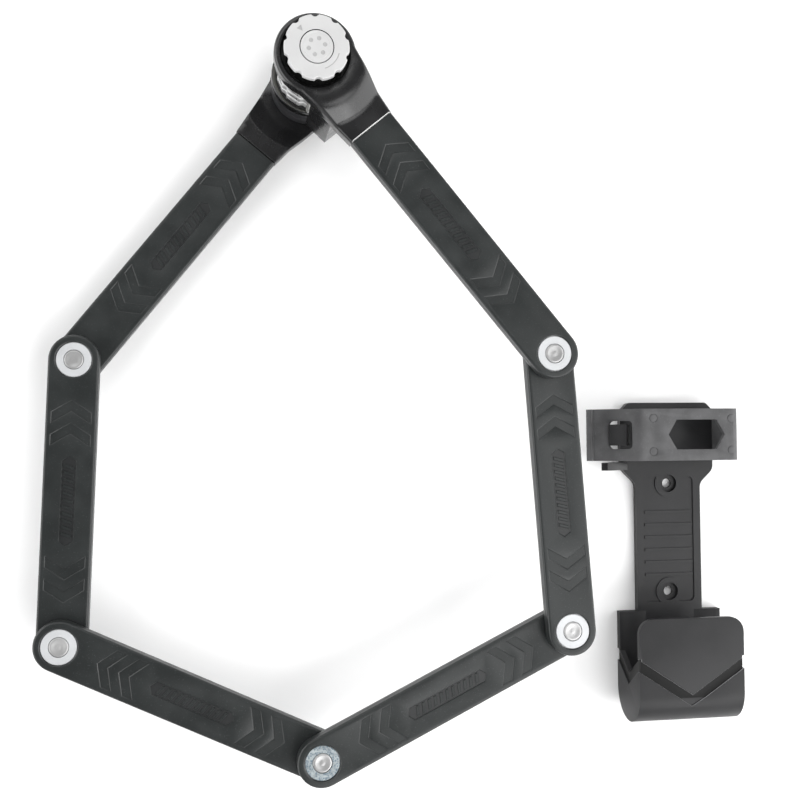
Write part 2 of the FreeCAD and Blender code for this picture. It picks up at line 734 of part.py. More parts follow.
def dial(number):
    """A ten-sided dial ring; dial 1 is the one next to the knob."""
    label = f"dial_{number}"
    body = new_body(label)
    outline = new_sketch(body, label + "_outline")
    radius = size("dial_radius")
    turn = 2 * math.pi / FACETS
    add_outline(outline, [
        (radius * math.cos((i + 0.5) * turn), radius * math.sin((i + 0.5) * turn)) for i in range(FACETS)
    ])
    pad(body, outline, "dial_thick", label + "_solid")
    bore = new_sketch(body, label + "_bore_outline")
    add_circle(bore, "dial_bore")
    cut(body, bore, "dial_thick", label + "_bore")
    return keep(body, label, lying(HEAD, LINK_1_ANGLE, dial_height(number)))


def dial_height(number):
    return size("dial_low") + (4 - number) * size("dial_pitch")


def code_sleeve(number):
    """The ring keyed inside a dial; its web has one gate that lets the bolt's fin pass."""
    label = f"code_sleeve_{number}"
    body = new_body(label)
    ring = new_sketch(body, label + "_ring_outline")
    add_circle(ring, "dial_bore")
    add_circle(ring, "sleeve_relief")
    pad(body, ring, "dial_thick", label + "_ring")
    web = new_sketch(body, label + "_web_outline", lift="dial_thick - sleeve_web")
    add_circle(web, "sleeve_relief + 0.5")
    add_circle(web, "sleeve_bore")
    pad(body, web, "sleeve_web", label + "_web")
    gate = new_sketch(body, label + "_gate_outline", lift="dial_thick - sleeve_web")
    half = size("gate_width") / 2
    reach = size("sleeve_relief") - 0.1
    add_outline(gate, [(-half, 0), (-half, -reach), (half, -reach), (half, 0)])
    cut(body, gate, "sleeve_web", label + "_gate")
    return keep(body, label, lying(HEAD, LINK_1_ANGLE, dial_height(number)))


def locking_bolt():
    """Bolt tip, rod and one fin per dial; each fin rests in the relief beside its sleeve's web."""
    low = size("bolt_tip")
    parts = [
        cylinder("bolt_tip_part", "bolt_radius", "10", low),
        cylinder("bolt_rod_part", "rod_radius", "52", low),
    ]
    for i in range(4):
        base = size("dial_low") + i * size("dial_pitch") + 0.45
        fin_low, fin_high = (-FIN_WIDE / 2, -size("fin_reach"), base), (FIN_WIDE / 2, 0, base + FIN_THICK)
        parts.append(box(f"bolt_fin_{i}", fin_low, fin_high))
    return keep(fuse("bolt_solid", parts), "locking_bolt", HEAD_FRAME)


for number in range(1, 5):
    dial(number)
    code_sleeve(number)
locking_bolt()

# --------------------------------------------------------------------------- knob
KNOB_NOTCHES = 10
NOTCH_RADIUS = 2.2
NOTCH_OUT = 17.7
KNOB_SEAT = 1.2


def knob():
    """The silver turning disc with a notched rim."""
    label = "knob"
    body = new_body(label)
    disc = new_sketch(body, "knob_outline")
    add_circle(disc, "knob_radius")
    pad(body, disc, "knob_thick", "knob_disc")
    seat = new_sketch(body, "knob_seat_outline", lift=f"knob_thick - {KNOB_SEAT}")
    add_circle(seat, "knob_cap_radius + 0.2")
    cut(body, seat, str(KNOB_SEAT), "knob_seat")
    screw_seat = new_sketch(body, "knob_screw_outline", lift="0.8")
    add_circle(screw_seat, "3.6")
    cut(body, screw_seat, "knob_thick", "knob_screw_seat")
    screw_hole = new_sketch(body, "knob_hole_outline")
    add_circle(screw_hole, "1.7")
    cut(body, screw_hole, "knob_thick", "knob_screw_hole")
    notch = new_sketch(body, "knob_notch_outline")
    add_circle(notch, str(NOTCH_RADIUS), (NOTCH_OUT, 0.0))
    around(body, cut(body, notch, "knob_thick", "knob_notch"), KNOB_NOTCHES, "knob_notches")
    return keep(body, label, lying(HEAD, 93.0, size("knob_low")))


knob()
collar_low = size("head_long") - size("recess_deep") + 0.3
turned("knob_collar", lying(HEAD, 0, 0), [
    (5.0, collar_low), (size("collar_radius"), collar_low), (size("collar_radius"), size("knob_low")),
    (5.0, size("knob_low")),
])
spindle_low, spindle_step = 58.6, size("head_long") - size("recess_deep")
turned("knob_spindle", lying(HEAD, 0, 0), [
    (4.2, spindle_low), (size("spindle_radius"), spindle_low), (size("spindle_radius"), spindle_step),
    (5.0, spindle_step), (5.0, size("knob_low")), (1.65, size("knob_low")), (1.65, 66.0), (1.0, 65.0),
    (0, 65.0), (0, 64.0), (4.2, 64.0),
])
cap_low = size("knob_low") + size("knob_thick") - KNOB_SEAT
turned("knob_cap", lying(HEAD, 0, 0), [
    (0, cap_low + 0.1), (size("knob_cap_radius"), cap_low + 0.1), (size("knob_cap_radius"), cap_low + 1.2),
    (size("knob_cap_radius") - 0.4, cap_low + 1.5), (0, cap_low + 1.5),
])
screw_low = size("knob_low") + 0.8
turned("knob_screw", lying(HEAD, 0, 0), [
    (0, 66.2), (1.6, 66.2), (1.6, screw_low), (3.4, screw_low), (3.4, cap_low), (0, cap_low),
])

ball_top = size("recess_deep") - 0.25
ball_radius = 1.5
ball = doc.addObject("Part::Sphere", "ball")
ball.Radius = ball_radius
ball.Placement.Base = Vector(*DETENT_SPOT, ball_top + ball_radius)
group("detent_ball", FRONT_FRAME, [ball])


def coil(radius, wire, pitch, tall):
    """A round-wire coil about Z, from z = 0 to tall, a whole number of turns."""
    path = Part.makeHelix(pitch, tall, radius)
    start = Part.Wire(Part.makeCircle(wire, Vector(radius, 0, 0), Vector(0, 1, 0)))
    return Part.Wire(path).makePipeShell([start], True, True)


spring = doc.addObject("Part::Feature", "coil")
spring.Shape = coil(1.1, 0.18, 0.6, 1.2)
spring.Placement.Base = Vector(*DETENT_SPOT, ball_top + 2 * ball_radius + 0.2)
group("detent_coil_spring", FRONT_FRAME, [spring])

# --------------------------------------------------------------------------- carrier
BOOT_END = 17.5
NOTCH_HIGH, NOTCH_LOW = 20.4, 10.6
TONGUE_HALF, TONGUE_LOW, TONGUE_THICK = 15.0, 5.0, 3.0
BAND_BACK = 1.5
STRAP_CORNER_X = -29.5
STRAP_WAY = Vector(-0.8137, 0, -0.5813)
TAB_LONG, RIDGE_LONG, RIDGE_TALL = 30.5, 3.5, 1.6
WINDOW_START, WINDOW_LONG = 4.0, 13.5


def boot_profile(sketch, top, low, high, end_radius):
    """Side view of the boot: straight to the links' last rivet and round below it."""
    middle = (low + high) / 2
    circle = Part.Circle(Vector(0, middle, 0), Vector(0, 0, 1), end_radius)
    quarter = math.pi / 2
    sketch.addGeometry(Part.ArcOfCircle(circle, quarter, 3 * quarter))
    sketch.addGeometry(Part.LineSegment(Vector(0, low, 0), Vector(top, low, 0)))
    sketch.addGeometry(Part.LineSegment(Vector(top, low, 0), Vector(top, high, 0)))
    sketch.addGeometry(Part.LineSegment(Vector(top, high, 0), Vector(0, high, 0)))
    for i in range(4):
        sketch.addConstraint(Sketcher.Constraint("Coincident", i, 2, (i + 1) % 4, 1))


def carrier_boot():
    """The soft cup that takes the folded links' ends."""
    body = new_body("carrier_boot")
    outer = new_sketch(body, "boot_outline", "YZ_Plane")
    boot_profile(outer, size("boot_top"), 0.0, 2 * BOOT_END, BOOT_END)
    pad(body, outer, "carrier_room_half * 2 + 6", "boot_block", midplane=True)
    room = new_sketch(body, "boot_room_outline", "YZ_Plane")
    back = size("carrier_back")
    boot_profile(room, size("boot_top") + 1, back, back + size("carrier_depth"), size("carrier_depth") / 2)
    cut(body, room, "carrier_room_half * 2", "boot_room", midplane=True)
    notch = new_sketch(body, "boot_notch_outline", "YZ_Plane")
    top = size("boot_top") + 1
    flap = back + size("carrier_depth") - 0.5
    add_outline(notch, [
        (top, back + 1), (top, flap), (NOTCH_HIGH, flap), (NOTCH_LOW, BOOT_END), (NOTCH_HIGH, back + 1),
    ])
    cut(body, notch, "carrier_room_half * 2 + 10", "boot_notch", midplane=True)
    corners = new_sketch(body, "boot_corner_outline", lift="31")
    edge = size("carrier_room_half") + size("carrier_wall")
    for side in (-1, 1):
        wide = side * (edge + 1)
        add_outline(corners, [(wide, top - 9), (side * (edge - 8), top), (wide, top)])
    cut(body, corners, "5", "boot_corners")
    tongue = new_sketch(body, "boot_tongue_outline", lift=f"carrier_back - {TONGUE_THICK}")
    add_outline(tongue, [
        (-TONGUE_HALF, TONGUE_LOW), (TONGUE_HALF, TONGUE_LOW), (TONGUE_HALF, top), (-TONGUE_HALF, top),
    ])
    cut(body, tongue, str(TONGUE_THICK), "boot_tongue_room")
    holes = new_sketch(body, "boot_screw_outline", lift="0.4")
    for x in BOOT_SCREWS:
        add_circle(holes, "1.5", (x, 20.0))
    cut(body, holes, "4", "boot_screw_holes")
    return keep(body, "carrier_boot", CARRIER_FRAME)


BOOT_SCREWS = (-8.0, 8.0)


def carrier_spine():
    """The stiff back plate: bolted to a frame, it carries the boot below and the strap above."""
    body = new_body("carrier_spine")
    outline = new_sketch(body, "spine_outline")
    low, high, half = size("boot_top"), size("spine_top"), size("spine_half")
    wide = size("carrier_room_half")
    shoulder = size("strap_low") - 14
    add_outline(outline, [
        (-half, low), (half, low), (half, shoulder), (wide, shoulder + 8), (wide, high - 4), (wide - 4, high),
        (-wide + 4, high), (-wide, high - 4), (-wide, shoulder + 8), (-half, shoulder),
    ])
    pad(body, outline, "carrier_back", "spine_plate")
    tongue = new_sketch(body, "spine_tongue_outline", lift=f"carrier_back - {TONGUE_THICK}")
    add_outline(tongue, [
        (-TONGUE_HALF, TONGUE_LOW), (TONGUE_HALF, TONGUE_LOW),
        (TONGUE_HALF, low + 1), (-TONGUE_HALF, low + 1),
    ])
    pad(body, tongue, str(TONGUE_THICK), "spine_tongue")
    band = new_sketch(body, "spine_band_outline")
    band_low, band_high = size("strap_low"), size("strap_high")
    add_outline(band, [(-40, band_low), (40, band_low), (40, band_high), (-40, band_high)])
    cut(body, band, str(BAND_BACK), "spine_band_channel")
    holes = new_sketch(body, "spine_mount_outline")
    heads = new_sketch(body, "spine_head_outline", lift="2.2")
    for y in (size("mount_low"), size("mount_low") + size("mount_spacing")):
        add_circle(holes, "mount_hole", (0.0, y))
        add_circle(heads, "5.2", (0.0, y))
    cut(body, holes, "carrier_back", "spine_mount_holes")
    cut(body, heads, "carrier_back", "spine_head_seats")
    screws = new_sketch(body, "spine_screw_outline")
    for x in BOOT_SCREWS:
        add_circle(screws, "1.5", (x, 20.0))
    cut(body, screws, "carrier_back", "spine_screw_holes")
    return keep(body, "carrier_spine", CARRIER_FRAME)


def carrier_strap():
    """The rubber strap: held behind the spine, round the right side and the front, its tab at the left."""
    body = new_body("carrier_strap")
    low, high, thick = size("strap_low"), size("strap_high"), size("strap_thick")
    right = size("carrier_room_half") + thick
    front = size("carrier_back") + size("carrier_depth") + thick
    along, out = STRAP_WAY, Vector(STRAP_WAY.z, 0, -STRAP_WAY.x)
    corner = Vector(STRAP_CORNER_X, 0, front)
    ridge = corner + along * (TAB_LONG - RIDGE_LONG)
    end = corner + along * TAB_LONG
    rise = out * RIDGE_TALL
    inner_end = end - out * thick
    inner_corner = inner_end - along * ((front - thick - inner_end.z) / -along.z)
    outer = new_sketch(body, "strap_outline", "XZ_Plane")
    add_outline(outer, [
        (-size("carrier_room_half") + 1.3, 0), (right, 0), (right, front), (corner.x, corner.z),
        (ridge.x, ridge.z), (ridge.x + rise.x, ridge.z + rise.z), (end.x + rise.x, end.z + rise.z),
        (inner_end.x, inner_end.z), (inner_corner.x, inner_corner.z), (right - thick, front - thick),
        (right - thick, BAND_BACK), (-size("carrier_room_half") + 1.3, BAND_BACK),
    ])
    outer.AttachmentOffset.Base = Vector(0, 0, -low - 0.2)
    band = pad(body, outer, str(high - low - 0.4), "strap_band")
    band.Reversed = True
    doc.recompute()
    middle = (low + high) / 2
    window = new_sketch(body, "strap_window_outline", lift=str(front - thick))
    add_outline(window, [
        (-12, middle), (-7, middle + 8.5), (17, middle + 8.5),
        (22, middle), (17, middle - 8.5), (-7, middle - 8.5),
    ])
    cut(body, window, "strap_thick", "strap_window")
    opening = box("strap_opening", (0, 0, 0), (WINDOW_LONG, 16, thick + 2))
    start = corner + along * WINDOW_START - out * (thick + 1)
    turn = Rotation(along, Vector(0, 1, 0), out, "ZXY")
    opening.Placement = Placement(Vector(start.x, middle + 8, start.z), turn)
    return keep(subtract("strap_solid", body, opening), "carrier_strap", CARRIER_FRAME)


def strap_catch():
    """The hook on the carrier's side that holds the strap's window, and the wing below it."""
    low = size("strap_low")
    middle = (low + size("strap_high")) / 2
    side = -size("carrier_room_half")
    hook = extruded("catch_hook", middle - 6, middle + 6, [
        (side - 0.2, 4.5), (side - 0.2, 25.5), (-33.5, 28.5), (-36.5, 33.0), (-44.3, 28.6), (-44.6, 26.4),
        (-38.0, 29.6), (-35.8, 25.4), (side - 2.8, 21.5), (side - 2.8, 4.5),
    ])
    foot = box("catch_foot", (side - 2.8, low + 2, size("carrier_back")), (side - 0.2, low + 28, 9.0))
    wing = extruded("catch_wing", low - 5.5, low - 1.0, [
        (side - 0.1, 1.0), (side - 0.1, 13.0), (-43.0, 20.0), (-46.0, 18.0), (side - 5.0, 3.0),
    ])
    post = box("catch_post", (side - 2.8, low - 5.5, 5.0), (side - 0.2, low + 3, 9.0))
    return keep(fuse("catch_solid", [hook, foot, wing, post]), "strap_catch", CARRIER_FRAME)


def extruded(name, low_y, high_y, outline):
    """A straight-sided solid between two heights along Y, from an outline of (x, z) points."""
    corners = [Vector(x, low_y, z) for x, z in outline]
    face = doc.addObject("Part::Feature", name + "_face")
    face.Shape = Part.Face(Part.makePolygon(corners + corners[:1]))
    solid = doc.addObject("Part::Extrusion", name)
    solid.Base = face
    solid.DirMode = "Custom"
    solid.Dir = Vector(0, 1, 0)
    solid.LengthFwd = high_y - low_y
    solid.Solid = True
    return solid


carrier_boot()
carrier_spine()
carrier_strap()
strap_catch()
group("boot_screws", CARRIER_FRAME, [
    cylinder(f"boot_screw_{i}", "1.5", "4", 0.4, (x, 20.0)) for i, x in enumerate(BOOT_SCREWS)
])
pad_low, pad_high = size("mount_low") + 10, size("mount_low") + size("mount_spacing") - 10
back = size("carrier_back")
group("spine_pad", CARRIER_FRAME, [box("pad_solid", (-12, pad_low, back), (12, pad_high, back + 0.6))])

# --------------------------------------------------------------------------- check and write
doc.recompute()
for obj in doc.Objects:
    if "Invalid" in obj.State or "Error" in obj.State:
        raise RuntimeError(f"{obj.Name} failed to recompute")
for obj in nodes:
    if obj.Shape.isNull() or not obj.Shape.isValid():
        raise RuntimeError(f"{obj.Label} has no valid shape")

os.makedirs("parts", exist_ok=True)
for obj in nodes:
    obj.Shape.exportStep(f"parts/{obj.Label}.step")
print(len(nodes), "nodes written")
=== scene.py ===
"""Looks for the folding lock and its carrier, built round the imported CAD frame.

Each piece is drawn in millimetres in its own frame, then put in place by the frame's joints and boxes.
"""
import json
import math

import bmesh
import bpy
from mathutils import Matrix, Vector
from mathutils.geometry import delaunay_2d_cdt


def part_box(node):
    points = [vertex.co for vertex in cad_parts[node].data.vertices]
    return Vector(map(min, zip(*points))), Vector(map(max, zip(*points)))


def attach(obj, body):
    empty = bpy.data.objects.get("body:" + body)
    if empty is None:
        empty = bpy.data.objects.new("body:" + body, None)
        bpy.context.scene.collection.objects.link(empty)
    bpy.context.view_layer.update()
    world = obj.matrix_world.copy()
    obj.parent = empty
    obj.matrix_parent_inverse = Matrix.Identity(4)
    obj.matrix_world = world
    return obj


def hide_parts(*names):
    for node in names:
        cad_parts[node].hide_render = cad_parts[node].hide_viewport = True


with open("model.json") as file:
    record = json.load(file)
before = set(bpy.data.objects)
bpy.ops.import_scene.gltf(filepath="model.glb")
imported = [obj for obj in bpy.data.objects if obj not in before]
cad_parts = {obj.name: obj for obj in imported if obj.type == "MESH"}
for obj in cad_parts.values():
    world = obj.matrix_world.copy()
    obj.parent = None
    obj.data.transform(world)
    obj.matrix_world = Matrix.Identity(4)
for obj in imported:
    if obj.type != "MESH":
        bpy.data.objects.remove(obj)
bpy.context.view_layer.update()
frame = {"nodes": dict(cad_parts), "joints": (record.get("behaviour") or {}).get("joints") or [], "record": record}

MM = 0.001
TAU = 2 * math.pi

# ------------------------------------------------------------------ sizes, in mm
PITCH, OUTER_PITCH = 150.0, 200.0
COVER_SPAN, OUTER_COVER_SPAN = (0.0, PITCH), (36.6, 186.6)
CHEVRON_FIRST, CHEVRON_STEP, CHEVRON_BAND, CHEVRON_DROP, CHEVRON_HALF = 21.3, 12.0, 6.2, 6.7, 10.5
PANEL_HALF_LONG, PANEL_HALF_WIDE, PANEL_TIP, PANEL_BARS, PANEL_BAR_STEP = 24.0, 3.8, 2.5, 11, 3.6
RELIEF_DEEP = 0.5
HALF_WIDE, THICK, ROUND = 13.25, 8.6, 1.3
BORE, BAR_HALF, BAR_LOW, BAR_HIGH = 9.6, 11.0, 1.8, 6.8
LINK_RISE, LOWEST_LINK = 9.4, 6.0
HOUSING_END, FLANGE, FLANGE_THICK, HEAD_LONG = 46.5, 21.3, 8.6, 67.6
NECK_START, NECK_END, NECK_STEP = 27.0, 37.5, 6.0
NECK_HALF, NECK_END_HALF, EDGE_CHAMFER = 14.9, 13.7, 0.65
RECESS, RECESS_DEEP = 17.6, 3.0
BARREL, BLOCK_HALF = 20.5, 14.0
PLATE_X, PLATE_Z = 24.3, 34.5
DIAL_LOW, DIAL_PITCH, DIAL_THICK = 31.4, 6.7, 6.3
DIAL_FLAT, DIAL_HOLLOW, DIAL_EDGE, DIAL_BORE, DIAL_RIM = 18.1, 0.9, 16.9, 9.6, 1.25
FIGURE_SIZE, FIGURE_NARROW, FIGURE_FOOT = 6.5, 0.84, DIAL_FLAT + 0.02
KNOB_THICK, KNOB_RADIUS = 4.0, 16.7
KNOB_NOTCHES, KNOB_NOTCH_AT, KNOB_NOTCH, KNOB_SOFT = 10, 17.7, 2.2, 0.7
KNOB_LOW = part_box("knob")[0].z / MM
BOOT_HALF, BOOT_TOP, BOOT_HIGH, BAND_DEEP = 31.3, 43.0, 35.0, 0.8
STRAP_LOW, STRAP_HIGH = 132.2, 161.8
SIDE_INSIDE, TONGUE_HALF = 28.3, 15.0
END_STEPS = 28


# ------------------------------------------------------------------ placing
def joint_place(name):
    found = next(j for j in frame["joints"] if j["name"] == name)
    return Vector(found["pos_m"]) / MM


def heading(start, end):
    return math.degrees(math.atan2(end.y - start.y, end.x - start.x))


def lying(point, angle, height=0.0):
    turn = Matrix.Rotation(math.radians(angle), 4, "Z")
    return Matrix.Translation((point.x, point.y, height)) @ turn


HEAD = Vector((0, 0, 0))
RIVETS = [joint_place(f"rivet_{k}_hinge") for k in range(1, 6)]
LINK_ANGLES = [heading(HEAD, RIVETS[0])]
LINK_ANGLES += [heading(a, b) for a, b in zip(RIVETS, RIVETS[1:])]
LINK_ANGLES += [heading(HEAD, RIVETS[4])]
HEAD_FRAME = lying(HEAD, LINK_ANGLES[0])
FRONT_FRAME = lying(HEAD, LINK_ANGLES[0], HEAD_LONG) @ Matrix.Rotation(math.pi, 4, "X")
REAR_FRAME = lying(HEAD, LINK_ANGLES[5])
boot_low, boot_high = (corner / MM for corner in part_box("carrier_boot"))
CARRIER_FRAME = Matrix.Translation(((boot_low.x + boot_high.x) / 2, boot_low.y + BOOT_HIGH / 2, boot_low.z))


def link_low(link):
    """The height of a link's lower face."""
    return LOWEST_LINK + (6 - link) * LINK_RISE


# ------------------------------------------------------------------ outlines
def arc(radius, start, end, steps, centre=(0.0, 0.0)):
    """Points on a circle from start to end, in degrees, both ends included."""
    points = []
    for i in range(steps + 1):
        t = math.radians(start + (end - start) * i / steps)
        points.append((centre[0] + radius * math.cos(t), centre[1] + radius * math.sin(t)))
    return points


def ring(radius, steps=72, centre=(0.0, 0.0)):
    return arc(radius, 0, 360, steps, centre)[:-1]


def softened(corners, steps=4):
    """A closed outline from its corners (x, y, radius), each one rounded."""
    points = []
    count = len(corners)
    for i, (x, y, radius) in enumerate(corners):
        if radius == 0:
            points.append((x, y))
            continue
        here = Vector((x, y))
        back = (Vector(corners[i - 1][:2]) - here).normalized()
        ahead = (Vector(corners[(i + 1) % count][:2]) - here).normalized()
        half = back.angle(ahead) / 2
        middle = here + (back + ahead).normalized() * (radius / math.sin(half))
        first = here + back * (radius / math.tan(half)) - middle
        last = here + ahead * (radius / math.tan(half)) - middle
        start = math.atan2(first.y, first.x)
        turn = (math.atan2(last.y, last.x) - start + math.pi) % TAU - math.pi
        for k in range(steps + 1):
            t = start + turn * k / steps
            points.append((middle.x + radius * math.cos(t), middle.y + radius * math.sin(t)))
    return points


def densified(points, longest):
    """The closed outline with no edge longer than the given length."""
    out = []
    for a, b in zip(points, points[1:] + points[:1]):
        pieces = max(1, math.ceil(math.dist(a, b) / longest))
        out += [(a[0] + (b[0] - a[0]) * k / pieces, a[1] + (b[1] - a[1]) * k / pieces) for k in range(pieces)]
    return out


def inset(points, depth):
    """A closed anticlockwise outline moved inward, corner by corner."""
    if depth == 0:
        return list(points)
    out = []
    count = len(points)
    for i in range(count):
        here = Vector(points[i])
        a = (here - Vector(points[i - 1])).normalized()
        b = (Vector(points[(i + 1) % count]) - here).normalized()
        normal_a, normal_b = Vector((-a.y, a.x)), Vector((-b.y, b.x))
        middle = (normal_a + normal_b).normalized()
        out.append(tuple(here + middle * (depth / max(middle.dot(normal_a), 0.3))))
    return out


def stadium(span, radius):
    return arc(radius, 90, 270, END_STEPS) + arc(radius, -90, 90, END_STEPS, (span, 0.0))


def round_end(start, span, radius):
    return [(start, radius), (start, -radius)] + arc(radius, -90, 90, END_STEPS, (span, 0.0))


def within(point, outline):
    """Whether a point is inside a closed outline."""
    x, y = point
    hit = False
    for (ax, ay), (bx, by) in zip(outline, outline[1:] + outline[:1]):
        if (ay > y) != (by > y) and x < (bx - ax) * (y - ay) / (by - ay) + ax:
            hit = not hit
    return hit


def corner_arc(radius, steps):
    """(inset, rise) pairs of a quarter round, from the side wall to the face."""
    quarter = math.pi / 2
    return [
        (radius * (1 - math.cos(quarter * k / steps)), radius * (1 - math.sin(quarter * k / steps)))
        for k in range(steps + 1)
    ]


# ------------------------------------------------------------------ meshes
class Build:
    """Vertices and faces of one piece, in mm; each face carries a material number."""

    def __init__(self):
        self.verts, self.faces, self.marks = [], [], []

    def add(self, points):
        first = len(self.verts)
        self.verts += [tuple(p) for p in points]
        return list(range(first, len(self.verts)))

    def level(self, outline, z):
        return self.add([(x, y, z) for x, y in outline])

    def face(self, ids, mark=0):
        self.faces.append(tuple(ids))
        self.marks.append(mark)

    def bridge(self, a, b, mark=0):
        """Faces between two rows of vertices; a row of one vertex is a tip."""
        count = max(len(a), len(b))
        for i in range(count):
            j = (i + 1) % count
            if len(a) == 1:
                self.face((a[0], b[j], b[i]), mark)
            elif len(b) == 1:
                self.face((a[i], a[j], b[0]), mark)
            else:
                self.face((a[i], a[j], b[j], b[i]), mark)

    def loft(self, rows, mark=0):
        for a, b in zip(rows, rows[1:]):
            self.bridge(a, b, mark)
        return rows

    def turned(self, profile, steps=72, centre=(0.0, 0.0), closed=False):
        """A surface of revolution from (radius, height) points; closed joins its last row to its first."""
        rows = [
            self.level(ring(r, steps, centre) if r > 1e-6 else [centre], z) for r, z in profile
        ]
        self.loft(rows)
        if closed:
            self.bridge(rows[-1], rows[0])
        return rows

    def fill(self, loops, mark=0, axes=(0, 1), inner=()):
        """A face between an outer loop and any holes, with optional vertices inside it."""
        ids = [i for loop in loops for i in loop] + list(inner)
        flat = [Vector((self.verts[i][axes[0]], self.verts[i][axes[1]])) for i in ids]
        edges, start = [], 0
        outlines = []
        for loop in loops:
            count = len(loop)
            edges += [(start + k, start + (k + 1) % count) for k in range(count)]
            outlines.append([tuple(v) for v in flat[start:start + count]])
            start += count
        points, _, triangles, origins, _, _ = delaunay_2d_cdt(flat, edges, [], 0, 1e-7)
        for triangle in triangles:
            middle = sum((points[k] for k in triangle), Vector((0.0, 0.0))) / len(triangle)
            if sum(within(middle, outline) for outline in outlines) % 2:
                self.face([ids[origins[k][0]] for k in triangle], mark)

    def prism(self, outline, low, high, axis="Z"):
        """A straight solid from an outline; along Y the outline is (x, z), along X it is (y, z)."""
        def put(points, h):
            if axis == "Z":
                return self.add([(x, y, h) for x, y in points])
            if axis == "Y":
                return self.add([(x, h, z) for x, z in points])
            return self.add([(h, y, z) for y, z in points])
        a, b = put(outline, low), put(outline, high)
        self.bridge(a, b)
        self.face(a)
        self.face(b)


def cleaned(mesh):
    """Merge doubles and turn all faces outward."""
    bm = bmesh.new()
    bm.from_mesh(mesh)
    bmesh.ops.remove_doubles(bm, verts=bm.verts, dist=1e-4)
    bmesh.ops.recalc_face_normals(bm, faces=bm.faces)
    bm.to_mesh(mesh)
    bm.free()


def solid(build):
    """An object of the build, in mm, linked to the scene."""
    mesh = bpy.data.meshes.new("piece")
    mesh.from_pydata(build.verts, [], build.faces)
    mesh.polygons.foreach_set("material_index", build.marks)
    cleaned(mesh)
    obj = bpy.data.objects.new("piece", mesh)
    bpy.context.scene.collection.objects.link(obj)
    return obj


def baked(obj):
    """Apply an object's modifiers to its mesh."""
    bpy.context.view_layer.update()
    graph = bpy.context.evaluated_depsgraph_get()
    mesh = bpy.data.meshes.new_from_object(obj.evaluated_get(graph))
    obj.modifiers.clear()
    obj.data = mesh
    return obj


def combined(base, tool, operation="DIFFERENCE"):
    step = base.modifiers.new("combine", "BOOLEAN")
    step.operation = operation
    step.solver = "EXACT"
    step.object = tool
    baked(base)
    bpy.data.objects.remove(tool)


def bevelled(obj, width, segments=3, angle=32):
    step = obj.modifiers.new("edges", "BEVEL")
    step.width = width
    step.segments = segments
    step.limit_method = "ANGLE"
    step.angle_limit = math.radians(angle)
    step.use_clamp_overlap = True
    step.miter_outer = "MITER_ARC"
    return baked(obj)


def placed(obj, name, place, body, materials, replaced=(), sharp=32):
    """Set a finished piece in the scene: metres, its body, its looks and what it stands for."""
    obj.name = obj.data.name = name
    obj.data.transform(Matrix.Scale(MM, 4) @ place)
    obj.data.update()
    marks = [polygon.material_index for polygon in obj.data.polygons]
    obj.data.materials.clear()
    for made in materials:
        obj.data.materials.append(made)
    obj.data.polygons.foreach_set("material_index", marks)
    obj.data.polygons.foreach_set("use_smooth", [True] * len(obj.data.polygons))
    obj.data.set_sharp_from_angle(angle=math.radians(sharp))
    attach(obj, body)
    if replaced:
        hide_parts(*replaced)


# ------------------------------------------------------------------ materials
def set_range(node, from_low, from_high, to_low, to_high):
    """Set a Map Range node's four ends."""
    node.inputs["From Min"].default_value, node.inputs["From Max"].default_value = from_low, from_high
    node.inputs["To Min"].default_value, node.inputs["To Max"].default_value = to_low, to_high


